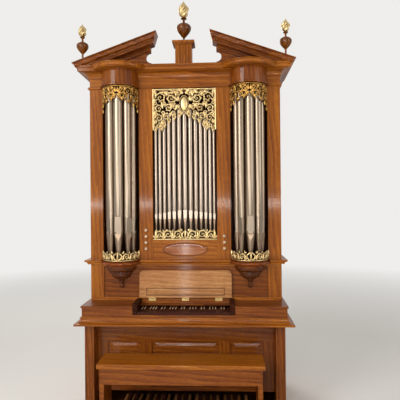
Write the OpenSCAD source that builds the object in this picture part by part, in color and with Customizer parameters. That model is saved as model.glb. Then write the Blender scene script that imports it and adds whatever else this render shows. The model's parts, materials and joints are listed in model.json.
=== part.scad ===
// House pipe organ: a two-tower oak case on a key desk, with bench and pedalboard.
// X runs to the right, Y away from the player, Z up from the floor.

/* [Case] */
// Width over the outer stiles
case_w = 1644; // [1560:2:1760]
// Depth behind the front plane
case_depth = 610; // [520:5:720]
// Thickness of side, back and roof boards
board_t = 22; // [18:1:28]
// Thickness of the front stiles and rails
front_t = 36; // [30:1:44]
// Width of each outer stile
outer_stile_w = 110; // [95:1:125]
// Width of each inner stile
inner_stile_w = 117; // [100:1:130]
// Width of each tower opening
tower_gap = 317; // [300:1:330]
// Depth of the recess in front of a panel
panel_recess = 12; // [8:1:14]
// Thickness of the loose panels
panel_t = 10; // [8:1:12]

/* [Heights] */
// Underside of the shelf moulding
shelf_z = 757; // [720:1:790]
// Height of the shelf moulding
shelf_h = 62; // [50:1:75]
// Height of the key desk above the moulding
desk_h = 91; // [80:1:110]
// Height of the middle section, desk to impost
middle_h = 312; // [290:1:340]
// Height of the impost
impost_h = 38; // [30:1:46]
// Height of the upper openings
opening_h = 1479; // [1400:1:1560]
// Height of the plain frieze
frieze_h = 84; // [70:1:100]
// Height of the cornice with its bed moulding
cornice_h = 102; // [92:1:112]
// How much lower the cornice ends over the towers
tower_cornice_drop = 10; // [6:1:30]

/* [Projections] */
// Front of the posts before the case
post_reach = 195; // [170:1:210]
// Front of the knee frame before the case
knee_reach = 80; // [60:1:110]
// Front of the desk fascia before the case
desk_reach = 227; // [215:1:250]
// How far the desk overhangs the case sides
desk_side = 14; // [8:1:24]
// How far the desk top's nosing stands proud
nosing = 8; // [4:1:12]
// Flare of the shelf moulding at its foot
shelf_flare = 53; // [40:1:60]
// Projection of the impost
impost_reach = 45; // [30:1:55]
// Projection of the level cornice
cornice_reach = 90; // [80:1:96]
// Projection of the crown moulding over the pediment and sides
crown_reach = 120; // [110:1:130]
// Projection of the cornice over the towers
tower_cornice_reach = 92; // [60:1:100]

/* [Towers] */
// Radius of the round tower tops
drum_r = 157; // [150:1:158]
// Radius of the ring under the tower pipes
ring_r = 172; // [165:1:176]
// Radius of the circle the tower pipes stand on
tower_pipe_circle = 108; // [100:1:112]
// Number of pipes in a tower
tower_pipes = 5; // [3:2:5]
// Diameter of the middle tower pipe
tower_pipe_d = 64; // [56:1:68]
// How much slimmer each next tower pipe is
tower_pipe_step = 6; // [3:1:8]
// Height of the tower pipes' mouths over the impost
tower_mouth_h = 232; // [200:1:260]

/* [Centre flat] */
// Number of pipes in the centre flat
flat_pipes = 13; // [9:2:15]
// Diameter of its middle pipe
flat_pipe_d = 41; // [36:1:44]
// How much slimmer each next pipe is
flat_pipe_step = 2.6; // [1.5:0.1:3]
// Gap between the outermost pipes and the stiles
flat_edge_gap = 12; // [8:0.5:16]
// Height of the plinth board under the flat
plinth_h = 166; // [150:1:180]
// Height of the flat's middle mouth over the plinth
flat_mouth_h = 183; // [170:1:200]
// Drop of the mouths towards the ends
flat_mouth_drop = 22; // [10:1:40]
// Width of the oval raised panel
oval_w = 395; // [340:1:430]
// Height of the oval raised panel
oval_h = 126; // [110:1:140]
// Wall of the pipes
pipe_wall = 2; // [1.2:0.1:3]
// Height of the pipes' upper lips in pipe diameters
lip_share = 1.5; // [1.2:0.1:1.8]
// Height of the pipes' mouths in pipe diameters
cut_up_share = 0.22; // [0.18:0.01:0.3]

/* [Shades] */
// Thickness of the carved shades
shade_t = 10; // [8:1:14]
// Width of the shades' borders
shade_border = 16; // [12:1:20]
// Depth of the top shade at the sides
shade_side_h = 368; // [330:1:400]
// Depth of the top shade in the middle
shade_mid_h = 220; // [200:1:250]
// Height of the bottom shade
bottom_shade_h = 98; // [85:1:110]
// Depth of the tower shades in the middle
tower_shade_mid_h = 112; // [95:1:130]
// Depth of the tower shades at the sides
tower_shade_side_h = 216; // [190:1:240]
// Height of the gilt band under the tower pipes
tower_band_h = 88; // [76:1:100]

/* [Pediment] */
// Slope of the raking cornices
rake = 19.5; // [16:0.5:22]
// Distance of their inner ends from the middle
pediment_gap = 224; // [200:1:250]
// Height of the raking cornices, square to the slope
rake_h = 78; // [70:1:100]
// Thickness of the tympanum boards
tympanum_t = 22; // [18:1:30]
// Width of the pedestal between them
pedestal_w = 142; // [120:1:160]
// Height of the pedestal
pedestal_h = 195; // [170:1:240]
// Height of its cap
pedestal_cap_h = 18; // [12:1:24]
// Diameter of the middle urn
urn_d = 129; // [115:1:140]
// Diameter of the outer urns
side_urn_d = 104; // [92:1:115]

/* [Keyboard] */
// Number of natural keys
naturals = 32; // [25:1:36]
// Spacing of the natural keys
key_pitch = 23.5; // [22.5:0.1:23.8]
// Gap between keys
key_gap = 1; // [0.6:0.1:1.4]
// Visible length of the natural keys
key_len = 170; // [150:1:180]
// Length of the sharps
sharp_len = 112; // [90:1:125]
// Width of the sharps
sharp_w = 11; // [9:0.5:12]
// Height of the sharps over the naturals
sharp_h = 12; // [9:0.5:14]
// Height of the naturals' tops over the fascia's foot
key_top = 44; // [40:1:48]
// Width of the key cheeks
cheek_w = 40; // [34:1:46]
// Height of the key cheeks over the desk top
cheek_rise = 17; // [12:1:22]
// Width of the lid
lid_w = 792; // [770:1:810]
// Height of the opened lid
lid_h = 236; // [215:1:245]
// Thickness of the lid
lid_t = 18; // [15:1:20]
// Radius of the lid's free corners
lid_corner_r = 38; // [20:1:60]
// Angle at which the opened lid leans back
lid_lean = 3; // [1:0.5:3.5]
// Width of the music ledge
ledge_w = 646; // [580:1:680]
// Height of the music ledge when it is folded flat
ledge_h = 54; // [45:1:65]
// Thickness of the music ledge
ledge_t = 8; // [6:0.5:9]
// Gap round the music ledge
ledge_gap = 2; // [1:0.1:3]
// Radius of the hinge barrels
barrel_r = 4; // [3:0.1:4.5]
// Radius of the hinge pins
pin_r = 1.6; // [1.2:0.1:2]
// Clearance round the hinge pins
pin_gap = 0.1; // [0.05:0.01:0.1]

/* [Stops] */
// Diameter of a stop knob
knob_d = 25; // [20:1:30]
// Diameter of a stop rod
rod_d = 12; // [9:1:14]
// Distance a stop is drawn out
stop_travel = 28; // [20:1:35]
// Height spacing of the stop knobs
stop_pitch = 53; // [45:1:60]

/* [Bench and pedals] */
// Depth of the bench top
bench_d = 270; // [250:5:330]
// Height of the bench top
bench_z = 552; // [520:1:600]
// Thickness of the bench top
bench_top_t = 32; // [24:1:40]
// Height of the bench apron
bench_apron_h = 122; // [90:1:140]
// Thickness of the bench ends
bench_end_t = 34; // [28:1:45]
// Overhang of the bench top beyond its ends
bench_inset = 18; // [10:1:30]
// Gap between the bench ends and the pedal frame
bench_gap = 5; // [4:1:20]
// Front edge of the bench before the case
bench_reach = 562; // [545:1:600]
// Number of natural pedals
pedal_naturals_n = 18; // [15:1:18]
// Spacing of the natural pedals
pedal_pitch = 60; // [56:0.5:62]
// Front of the pedal frame before the case
pedal_reach = 662; // [640:1:760]

/* [Hidden] */
$fn = 48;

half_w = case_w / 2;
centre_gap = case_w - 2 * (outer_stile_w + inner_stile_w + tower_gap);
tower_x = half_w - outer_stile_w - tower_gap / 2;
fascia_z = shelf_z + shelf_h;
desk_z = fascia_z + desk_h;
impost_z = desk_z + middle_h;
upper_z = impost_z + impost_h;
opening_top = upper_z + opening_h;
bed_z = opening_top + frieze_h;
cornice_top = bed_z + cornice_h;
crown_rise = 19;
tip_z = cornice_top + crown_rise;
tower_crown_h = 36;
drum_top = cornice_top - tower_cornice_drop - tower_crown_h;
plinth_top = upper_z + plinth_h;
// The case plane's place that puts the whole part's middle over the origin
front_y = (pedal_reach - case_depth) / 2;
seat = 0.3;

oak = [0.62, 0.36, 0.16];
oak_dark = [0.45, 0.24, 0.10];
oak_light = [0.72, 0.50, 0.32];
gilt = [0.85, 0.68, 0.28];
tin = [0.78, 0.74, 0.70];
ebony = [0.07, 0.06, 0.06];
ivory = [0.90, 0.86, 0.74];
brass = [0.80, 0.64, 0.32];

// Moves a piece from the case's own frame to the part's frame.
module in_place() {
    translate([0, front_y, 0]) children();
}

// A piece and its mirror image on the other side.
module both() {
    children();
    mirror([1, 0, 0]) children();
}

// A board given by its lowest and highest corners.
module board(low, high) {
    translate(low) cube(high - low);
}

// Extrudes a section (out, up) along X; it faces the player.
module front_run(length) {
    rotate([90, 0, -90]) linear_extrude(length, center = true) children();
}

// Runs a section (out, up) round the front and both sides of a block, mitred at its corners.
module around(side, front, back, reach) {
    intersection() {
        translate([0, front, 0]) front_run(2 * (side + reach)) children();
        linear_extrude(4 * tip_z, center = true)
            polygon([[-side, front], [side, front], [side + reach, front - reach], [-side - reach, front - reach]]);
    }
    both() intersection() {
        translate([side, back, 0]) rotate([90, 0, 0]) linear_extrude(back - front + reach) children();
        linear_extrude(4 * tip_z, center = true)
            polygon([[side, front], [side + reach, front - reach], [side + reach, back], [side, back]]);
    }
}

// A frame of stiles and rails with one opening per [left, right] pair.
module framed(low, high, openings, bottom, top) {
    difference() {
        board(low, high);
        for (o = openings)
            board([o[0], low[1] - 1, bottom], [o[1], high[1] + 1, top]);
    }
}

// A flat panel with a raised field, seen from the front at y = 0.
module fielded(width, height, thick, margin, raise) {
    board([-width / 2, 0, 0], [width / 2, thick, height]);
    hull() {
        board([-width / 2 + margin, -0.01, margin], [width / 2 - margin, 0.01, height - margin]);
        board([-width / 2 + 2 * margin, -raise, 2 * margin], [width / 2 - 2 * margin, 0, height - 2 * margin]);
    }
}

post_w = 76;
post_depth = post_reach - knee_reach;
post_bead = 3;

module front_posts() {
    color(oak) in_place() both() translate([half_w - post_w, -post_reach, 0])
        linear_extrude(shelf_z) difference() {
            square([post_w, post_depth]);
            for (x = [15, post_w - 15]) translate([x, 0]) circle(post_bead);
            for (x = [0, post_w]) translate([x, 15]) circle(post_bead);
        }
}

module lower_sides() {
    color(oak) in_place() both() {
        board([half_w - board_t, -knee_reach, 0], [half_w, case_depth, shelf_z]);
        board([half_w - board_t, front_t, shelf_z], [half_w, case_depth, impost_z]);
    }
}

back_rail = 90;
back_openings = [[-half_w + board_t + back_rail, -back_rail / 2], [back_rail / 2, half_w - board_t - back_rail]];

module lower_back() {
    color(oak_dark) in_place() framed(
        [-half_w + board_t, case_depth - board_t, 0], [half_w - board_t, case_depth, upper_z],
        back_openings, back_rail, upper_z - back_rail
    );
}

module back_panels() {
    color(oak_dark) in_place() for (o = back_openings) {
        board([o[0], case_depth - board_t, back_rail], [o[1], case_depth - board_t + panel_t, upper_z - back_rail]);
        board([o[0], case_depth - board_t, upper_z + back_rail],
              [o[1], case_depth - board_t + panel_t, cornice_top - board_t - back_rail]);
    }
}

module case_floor() {
    color(oak_dark) in_place()
        board([-half_w + board_t, -knee_reach, 0], [half_w - board_t, case_depth - board_t, board_t]);
}

knee_t = 24;
knee_stile = 92;
knee_muntin_x = 283;
knee_muntin_w = 97;
knee_rail_z = 584;
pedal_slot_top = 165;
knee_panel_z = 197;
knee_side = half_w - board_t;
knee_openings = [
    [-knee_side + knee_stile + post_w - board_t, -knee_muntin_x - knee_muntin_w],
    [-knee_muntin_x, knee_muntin_x],
    [knee_muntin_x + knee_muntin_w, knee_side - knee_stile - post_w + board_t],
];

module knee_frame() {
    color(oak) in_place() framed(
        [-knee_side, -knee_reach, pedal_slot_top], [knee_side, -knee_reach + knee_t, shelf_z],
        knee_openings, knee_panel_z, knee_rail_z
    );
}

module knee_panels() {
    color(oak) in_place() for (o = knee_openings)
        translate([(o[0] + o[1]) / 2, -knee_reach + panel_recess, knee_panel_z])
            fielded(o[1] - o[0], knee_rail_z - knee_panel_z, panel_t, 22, 6);
}

module shelf_section() {
    foot = 14;
    square([shelf_flare, foot]);
    difference() {
        square([shelf_flare - 6, shelf_h - 10]);
        translate([shelf_flare - 6, shelf_h - 10]) circle(shelf_h - 10 - foot);
    }
    translate([0, shelf_h - 10]) square([12, 10]);
}

module shelf_moulding() {
    side = half_w + desk_side;
    color(oak) in_place() {
        translate([0, 0, shelf_z]) around(side, -desk_reach, case_depth, shelf_flare) shelf_section();
        board([-side, -desk_reach, shelf_z], [side, 0, fascia_z]);
        both() board([half_w, 0, shelf_z], [side, case_depth, fascia_z]);
    }
}

keys_w = naturals * key_pitch;
well_half = keys_w / 2 + cheek_w + 1;
key_tray_z = fascia_z + key_top - 24;
name_y = -22;
keys_back = name_y - 40;
key_front = keys_back - key_len;

module key_desk() {
    side = half_w + desk_side;
    top_t = 16;
    color(oak) in_place() difference() {
        union() {
            board([-side, -desk_reach, fascia_z], [side, 0, desk_z - top_t]);
            board([-side - nosing, -desk_reach - nosing, desk_z - top_t], [side + nosing, 0, desk_z]);
            both() board([half_w, 0, fascia_z], [side, case_depth, desk_z - top_t]);
            both() board([half_w, 0, desk_z - top_t], [side + nosing, case_depth, desk_z]);
        }
        board([-well_half, -desk_reach - nosing - 1, key_tray_z], [well_half, 1, desk_z + 1]);
    }
}

module key_cheeks() {
    color(ebony) in_place() both()
        board([keys_w / 2 + 1, key_front, key_tray_z], [well_half, 0, desk_z + cheek_rise]);
}

module natural_keys() {
    color(ebony) in_place() for (i = [0 : naturals - 1])
        board([-keys_w / 2 + i * key_pitch + key_gap / 2, key_front, key_tray_z],
              [-keys_w / 2 + (i + 1) * key_pitch - key_gap / 2, name_y, fascia_z + key_top]);
}

// Steps of the octave that have a sharp above them, counted from C.
function has_sharp(i) = let (s = i % 7) s != 2 && s != 6;

module sharp_keys() {
    color(ivory) in_place() for (i = [0 : naturals - 2])
        if (has_sharp(i))
            translate([-keys_w / 2 + (i + 1) * key_pitch, keys_back, fascia_z + key_top])
                rotate([90, 0, 0]) linear_extrude(sharp_len)
                    polygon([[-sharp_w / 2, 0], [sharp_w / 2, 0], [sharp_w / 2 - 1.5, sharp_h], [-sharp_w / 2 + 1.5, sharp_h]]);
}

name_top = desk_z + cheek_rise - 2;
hinge_z = desk_z + cheek_rise + 5;
hinge_y = name_y - 3;
hinge_xs = [-0.36 * lid_w, 0, 0.36 * lid_w];
hinge_w = 60;
knuckle_w = 20;

module name_board() {
    color(oak_dark) in_place() {
        board([-keys_w / 2, name_y, fascia_z + key_top + sharp_h + 3], [keys_w / 2, 0, name_top]);
        board([-keys_w / 2, keys_back, fascia_z + key_top + sharp_h + 3], [keys_w / 2, name_y, fascia_z + key_top + sharp_h + 13]);
    }
}

module lid_hinges() {
    leaf_h = 24;
    leaf_t = 2;
    color(brass) in_place() for (x = hinge_xs) translate([x, 0, 0]) {
        board([-hinge_w / 2, name_y - leaf_t, hinge_z - leaf_h], [hinge_w / 2, name_y, name_top]);
        difference() {
            union() {
                translate([-hinge_w / 2, hinge_y, hinge_z]) rotate([0, 90, 0]) cylinder(r = barrel_r, h = hinge_w);
                board([-hinge_w / 2, name_y - leaf_t, name_top - 1], [hinge_w / 2, name_y, hinge_z]);
            }
            translate([-knuckle_w / 2 - seat, hinge_y, hinge_z]) rotate([0, 90, 0])
                cylinder(r = barrel_r + 5, h = knuckle_w + 2 * seat);
        }
        translate([-hinge_w / 2, hinge_y, hinge_z]) rotate([0, 90, 0]) cylinder(r = pin_r, h = hinge_w);
    }
}

// Puts a piece drawn on the closed-up upright lid at the lean of the opened one.
module leaning() {
    translate([0, hinge_y, hinge_z]) rotate([-lid_lean, 0, 0]) children();
}

lid_foot = 5;

module lid_knuckles() {
    color(brass) in_place() leaning() for (x = hinge_xs) translate([x, 0, 0]) difference() {
        union() {
            translate([-knuckle_w / 2, 0, 0]) rotate([0, 90, 0]) cylinder(r = barrel_r, h = knuckle_w);
            board([-knuckle_w / 2, 0, 0], [knuckle_w / 2, 3, lid_foot]);
            board([-hinge_w / 2, barrel_r + 1, lid_foot - 1.5], [hinge_w / 2, lid_t - 2, lid_foot]);
            board([-knuckle_w / 2, 0, lid_foot - 1.5], [knuckle_w / 2, lid_t - 2, lid_foot]);
        }
        translate([-knuckle_w / 2 - 1, 0, 0]) rotate([0, 90, 0]) cylinder(r = pin_r + pin_gap, h = knuckle_w + 2);
    }
}

ledge_z = 28;
ledge_pin_r = 2;
ledge_pin_len = 8;
ledge_pin_gap = 0.1;

// The music ledge's pivot line, drawn on the upright lid.
module ledge_axis(r, past) {
    translate([-ledge_w / 2 - past, ledge_t / 2, ledge_z + ledge_t / 2]) rotate([0, 90, 0])
        cylinder(r = r, h = ledge_w + 2 * past);
}

module desk_lid() {
    color(oak_light) in_place() leaning() difference() {
        rotate([90, 0, 0]) translate([0, 0, -lid_t]) linear_extrude(lid_t) difference() {
            translate([-lid_w / 2, lid_foot]) square([lid_w, lid_h - lid_foot]);
            both() translate([lid_w / 2 - lid_corner_r, lid_h - lid_corner_r]) difference() {
                square(lid_corner_r + 1);
                circle(lid_corner_r);
            }
        }
        board([-ledge_w / 2 - ledge_gap, -1, ledge_z - ledge_gap],
              [ledge_w / 2 + ledge_gap, ledge_t + ledge_gap, ledge_z + ledge_h + ledge_gap]);
        ledge_axis(ledge_pin_r + ledge_pin_gap, ledge_gap + ledge_pin_len);
    }
}

module music_ledge() {
    color(oak_light) in_place() leaning() {
        board([-ledge_w / 2, 0, ledge_z + ledge_t / 2], [ledge_w / 2, ledge_t, ledge_z + ledge_h]);
        ledge_axis(ledge_t / 2, 0);
        ledge_axis(ledge_pin_r, ledge_gap + ledge_pin_len - 0.5);
    }
}

middle_rail = 20;
middle_foot = 26;
middle_stile = 114;

module middle_frame() {
    color(oak) in_place() framed(
        [-half_w, 0, desk_z], [half_w, front_t, impost_z],
        [[-half_w + middle_stile, half_w - middle_stile]], desk_z + middle_foot, impost_z - middle_rail
    );
}

module middle_panel() {
    color(oak) in_place() board(
        [-half_w + middle_stile, panel_recess, desk_z + middle_foot],
        [half_w - middle_stile, panel_recess + panel_t, impost_z - middle_rail]
    );
}

module impost_section() {
    difference() {
        square([impost_reach, impost_h]);
        translate([impost_reach, 0]) circle(impost_h * 0.6);
    }
}

module impost_moulding() {
    color(oak) in_place() difference() {
        union() {
            translate([0, 0, impost_z]) around(half_w, 0, case_depth, impost_reach) impost_section();
            board([-half_w, 0, impost_z], [half_w, front_t, upper_z]);
            both() board([half_w - board_t, front_t, impost_z], [half_w, case_depth, upper_z]);
        }
        both() translate([tower_x, 0, impost_z - 1]) intersection() {
            cylinder(r = ring_r, h = impost_h + 2);
            board([-ring_r, -ring_r, 0], [ring_r, 0, impost_h + 2]);
        }
    }
}

// Points along an arc about c from angle a to angle b.
function arc(c, r, a, b, n = 5) = [for (i = [0 : n]) c + r * [cos(a + (b - a) * i / n), sin(a + (b - a) * i / n)]];

ring_nose = 13;
ring_fillet = 8;
ring_cove = 22;
tier_1 = ring_r - 40;
tier_2 = ring_r - 72;
bowl_r = ring_r - 88;
bowl_curve = 34;
cone_cove = 26;
cone_tip = 18;
drop_r = 20;

// The turned corbel's outline: radius and height below the impost's top.
corbel_outline = concat(
    [[0, 0], [ring_r - 4, 0]],
    arc([ring_r - ring_nose, -ring_fillet - ring_nose], ring_nose, 90, -90),
    arc([ring_r - ring_cove, -58], ring_cove, 90, 180),
    [[tier_1, -58], [tier_1, -66]],
    arc([tier_1 - 38, -66], 32, 0, -90),
    [[tier_2, -98], [tier_2, -108]],
    arc([bowl_r + 8, -116], 8, 90, 180),
    arc([bowl_r - bowl_curve, -122], bowl_curve, 0, -90),
    [[bowl_r - bowl_curve, -162]],
    arc([cone_tip + 3 + cone_cove, -162 - cone_cove], cone_cove, 90, 180),
    arc([cone_tip, -192], 4, 90, -90),
    [[13, -198]],
    arc([0, -222], drop_r, 49, -90)
);

module tower_corbels() {
    back = half_w - middle_stile - tower_x;
    color(oak) in_place() both() translate([tower_x, 0, 0]) intersection() {
        translate([0, 0, upper_z]) rotate_extrude() polygon(corbel_outline);
        union() {
            board([-ring_r, -ring_r, desk_z], [ring_r, 0, upper_z]);
            board([-back, -1, desk_z], [back, panel_recess, impost_z - middle_rail]);
        }
    }
}

module outer_stiles() {
    color(oak) in_place() both()
        board([half_w - outer_stile_w, 0, upper_z], [half_w, front_t, opening_top]);
}

stop_x = centre_gap / 2 + inner_stile_w / 2;
stop_top_z = 1515;
rod_gap = 0.3;
// Each stop's side and its place counted from the highest row
stops = [[-1, 0], [-1, 1], [-1, 2], [-1, 3], [1, 1], [1, 2], [1, 3]];

module inner_stiles() {
    color(oak) in_place() difference() {
        both() board([centre_gap / 2, 0, upper_z], [centre_gap / 2 + inner_stile_w, front_t, opening_top]);
        for (s = stops) translate([s[0] * stop_x, -1, stop_top_z - s[1] * stop_pitch])
            rotate([-90, 0, 0]) cylinder(d = rod_d + 2 * rod_gap, h = front_t + 2);
    }
}

module stop_knob(k) {
    s = stops[k];
    stem = 14;
    color(ivory) in_place() translate([s[0] * stop_x, 0, stop_top_z - s[1] * stop_pitch]) rotate([90, 0, 0]) {
        translate([0, 0, -front_t - stop_travel - 20]) cylinder(d = rod_d, h = front_t + stop_travel + 20 + stem);
        translate([0, 0, 6]) cylinder(d1 = rod_d + 2, d2 = knob_d, h = 8);
        translate([0, 0, 14]) cylinder(d = knob_d, h = 10);
        translate([0, 0, 24]) cylinder(d1 = knob_d, d2 = knob_d - 8, h = 3);
    }
}

plinth_recess = 4;
oval_z = (upper_z + plinth_top) / 2;
oval_sunk = 5;
oval_rim = 22;

module plinth_board() {
    color(oak) in_place() difference() {
        board([-centre_gap / 2, plinth_recess, upper_z], [centre_gap / 2, plinth_recess + board_t, plinth_top]);
        translate([0, plinth_recess - 1, oval_z]) rotate([-90, 0, 0])
            scale([1, oval_h / oval_w, 1]) cylinder(d = oval_w, h = oval_sunk + 1);
    }
}

module oval_panel() {
    color(oak) in_place() translate([0, plinth_recess + oval_sunk, oval_z]) rotate([90, 0, 0]) {
        scale([1, oval_h / oval_w, 1]) cylinder(d = oval_w, h = 2);
        scale([1, (oval_h - oval_rim) / (oval_w - oval_rim), 1]) cylinder(d = oval_w - oval_rim, h = oval_sunk + 3);
    }
}

module upper_sides() {
    rail = 90;
    color(oak) in_place() both() difference() {
        board([half_w - board_t, front_t, upper_z], [half_w, case_depth, cornice_top - board_t]);
        for (z = [upper_z + rail, (upper_z + opening_top) / 2 + rail / 2])
            board([half_w - panel_recess, front_t + rail, z],
                  [half_w + 1, case_depth - rail, z + opening_h / 2 - rail * 1.5]);
    }
}

module upper_back() {
    color(oak_dark) in_place() framed(
        [-half_w + board_t, case_depth - board_t, upper_z], [half_w - board_t, case_depth, cornice_top - board_t],
        back_openings, upper_z + back_rail, cornice_top - board_t - back_rail
    );
}

module roof_board() {
    color(oak_dark) in_place() board([-half_w, 0, cornice_top - board_t], [half_w, case_depth, cornice_top]);
}

flat_pipe_y = 34;
toe_board_back = 90;

module centre_toe_board() {
    color(oak_dark) in_place()
        board([-centre_gap / 2, shade_t, plinth_top], [centre_gap / 2, toe_board_back, plinth_top + board_t]);
}

// The round outside of a pipe above its mouth, pressed flat at the upper lip, drawn in by inset.
module lipped_body(r, body, lip_h, press, inset) {
    difference() {
        cylinder(r = r - inset, h = body);
        translate([0, -r + press + inset, 0]) rotate([atan(press / lip_h), 0, 0])
            translate([-2 * r, -4 * r, -lip_h]) cube([4 * r, 4 * r, 2.5 * lip_h]);
    }
}

// An organ flue pipe standing on its toe: foot cone, mouth between two pressed lips, and an open body.
module flue_pipe(d, foot, body) {
    r = d / 2;
    toe_r = r * 0.32;
    press = r * 0.3;
    cut_up = d * cut_up_share;
    lip_h = d * lip_share;
    low_lip = d;
    low_r = r - (r - toe_r) * low_lip / foot;
    difference() {
        cylinder(r1 = toe_r, r2 = r, h = foot);
        translate([0, 0, -1]) cylinder(r = toe_r - pipe_wall, h = foot / 2);
        translate([0, -r + press, foot]) rotate([-atan((low_r - r + press) / low_lip), 0, 0])
            translate([-2 * r, -4 * r, -2 * low_lip]) cube([4 * r, 4 * r, 2.5 * low_lip]);
    }
    translate([0, 0, foot]) difference() {
        union() {
            intersection() {
                cylinder(r = r, h = cut_up);
                board([-r, -r + press, 0], [r, r, cut_up]);
            }
            translate([0, 0, cut_up]) lipped_body(r, body - cut_up, lip_h, press, 0);
        }
        translate([0, 0, 3]) intersection() {
            cylinder(r = r - pipe_wall, h = body);
            board([-r, -r + press - 1, 0], [r, r, cut_up - 3]);
        }
        translate([0, 0, cut_up]) lipped_body(r, body - cut_up + 1, lip_h, press, pipe_wall);
    }
}

function tower_pipe_dia(i) = tower_pipe_d - tower_pipe_step * abs(i - (tower_pipes - 1) / 2);
function tower_pipe_angle(i) = (i - (tower_pipes - 1) / 2) * 88 / ((tower_pipes - 1) / 2);
tower_pipe_top = opening_top - tower_shade_mid_h + 40;

module tower_pipe_set(side) {
    color(tin) in_place() translate([side * tower_x, 0, upper_z]) for (i = [0 : tower_pipes - 1])
        rotate([0, 0, tower_pipe_angle(i)]) translate([0, -tower_pipe_circle, 0])
            flue_pipe(tower_pipe_dia(i), tower_mouth_h, tower_pipe_top - upper_z - tower_mouth_h);
}

module tower_pipes_left() {
    tower_pipe_set(-1);
}

module tower_pipes_right() {
    tower_pipe_set(1);
}

function flat_dia(k) = flat_pipe_d - flat_pipe_step * k;
function flat_run(k) = k == 0 ? 0 : flat_run(k - 1) + (flat_dia(k) + flat_dia(k - 1)) / 2;
flat_last = (flat_pipes - 1) / 2;
flat_pipe_gap = (centre_gap / 2 - flat_edge_gap - flat_run(flat_last) - flat_dia(flat_last) / 2) / flat_last;
function flat_x(k) = flat_run(k) + k * flat_pipe_gap;

module centre_pipes() {
    color(tin) in_place() for (i = [-flat_last : flat_last]) {
        k = abs(i);
        foot = flat_mouth_h - flat_mouth_drop * k / flat_last - board_t;
        top = opening_top - shade_mid_h + 40 - (shade_side_h - shade_mid_h) * pow(k / flat_last, 2);
        translate([sign(i) * flat_x(k), flat_pipe_y, plinth_top + board_t])
            flue_pipe(flat_dia(k), foot, top - plinth_top - board_t - foot);
    }
}

// A ring of the tracery.
module ring(r, w) {
    difference() {
        circle(r + w / 2);
        circle(r - w / 2);
    }
}

// Half a ring, above the X axis or below it.
module half_ring(r, w, up) {
    intersection() {
        ring(r, w);
        translate([-r - w, up ? 0 : -r - w]) square([2 * (r + w), r + w]);
    }
}

// A pointed leaf from the origin along X, between two arcs.
module leaf(length, width) {
    r = (length * length + width * width) / (4 * width);
    intersection() {
        translate([length / 2, r - width / 2]) circle(r);
        translate([length / 2, width / 2 - r]) circle(r);
    }
}

// A scroll of half rings that close in on a round eye, with leaves along its back.
module volute(r, w) {
    half_ring(r, w, true);
    translate([-r * 0.22, 0]) half_ring(r * 0.78, w * 0.95, false);
    translate([0.02 * r, 0]) half_ring(r * 0.54, w * 0.9, true);
    translate([-r * 0.2, 0]) half_ring(r * 0.32, w * 0.8, false);
    translate([r * 0.08, r * 0.02]) circle(r * 0.17);
    for (a = [20, 65, 110, 155])
        rotate(a) translate([r, 0]) rotate(-50) translate([-r * 0.1, 0]) leaf(r * 0.55, r * 0.24);
}

// The carved top shade's scrolls on its right half: place, size and turn of each.
top_scrolls = [
    [206, -76, 58, 0], [108, -92, 45, 200], [138, -180, 41, 20], [221, -181, 38, 170], [222, -264, 38, 0],
    [164, -258, 29, 140], [74, -166, 30, 90], [44, -50, 28, 20], [218, -326, 25, 90],
];
boss_w = 66;
boss_h = 130;
boss_z = -137;
top_edge_steps = 6;
// The half width and the depth that the scrolls are drawn for; they stretch with their opening
drawn_half_w = 278;
drawn_side_h = 368;
spread = centre_gap / 2 / drawn_half_w;
deepen = shade_side_h / drawn_side_h;
scroll_size = max(spread, deepen);

// The right half of the centre top shade, from the opening's top middle.
module top_shade_half() {
    w = centre_gap / 2;
    edge = [[w - 46, -shade_side_h + 24], [26, -shade_mid_h + 14]];
    translate([0, -shade_border]) square([w, shade_border]);
    translate([w - shade_border, -shade_side_h]) square([shade_border, shade_side_h]);
    translate([w - 56, -shade_side_h]) square([56, 10]);
    intersection() {
        for (v = top_scrolls) translate([v[0] * spread, v[1] * deepen]) rotate(v[3]) volute(v[2] * scroll_size, 10);
        polygon([[0, 0], [w, 0], [w, -shade_side_h], [w - 70, -shade_side_h], [20, -shade_mid_h - 8], [0, -shade_mid_h]]);
    }
    for (i = [0 : top_edge_steps - 1]) {
        t = i / (top_edge_steps - 1);
        translate(edge[0] * (1 - t) + edge[1] * t) {
            ring(22 * scroll_size, 9);
            rotate(90 + 20 * t) leaf(40 * scroll_size, 14);
        }
    }
    for (x = [86, 150, 170]) translate([x * spread, -shade_border + 2]) rotate(-80) leaf(48 * scroll_size, 20);
    translate([26, -100]) rotate(30) leaf(70 * scroll_size, 22);
    translate([26, -180]) rotate(-20) leaf(60 * scroll_size, 20);
}

module centre_top_shade() {
    color(gilt) in_place() translate([0, shade_t, opening_top]) rotate([90, 0, 0]) linear_extrude(shade_t) {
        both() top_shade_half();
        translate([0, boss_z]) scale([boss_w / boss_h, 1]) circle(d = boss_h);
        translate([0, boss_z]) scale([boss_w / boss_h, 1]) difference() {
            circle(d = boss_h + 24);
            circle(d = boss_h + 4);
        }
        translate([-9, -shade_mid_h + 6]) square([18, shade_mid_h - 10]);
    }
}

bottom_scrolls = [
    [36, 44, 30, 60], [98, 36, 24, 180], [150, 40, 27, 20], [206, 38, 26, 160], [250, 42, 24, 40],
];

module centre_bottom_shade() {
    w = centre_gap / 2;
    color(gilt) in_place() translate([0, shade_t, plinth_top]) rotate([90, 0, 0]) linear_extrude(shade_t)
        both() {
            square([w, shade_border * 0.8]);
            intersection() {
                for (v = bottom_scrolls) translate([v[0] * spread, v[1]]) rotate(v[3]) volute(v[2] * spread, 8);
                square([w, bottom_shade_h]);
            }
            for (x = [52, 190, 246]) translate([x * spread, 30]) rotate(90) leaf(bottom_shade_h - 30, 22);
            translate([0, 8]) rotate(90) leaf(60, 30);
        }
}

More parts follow.
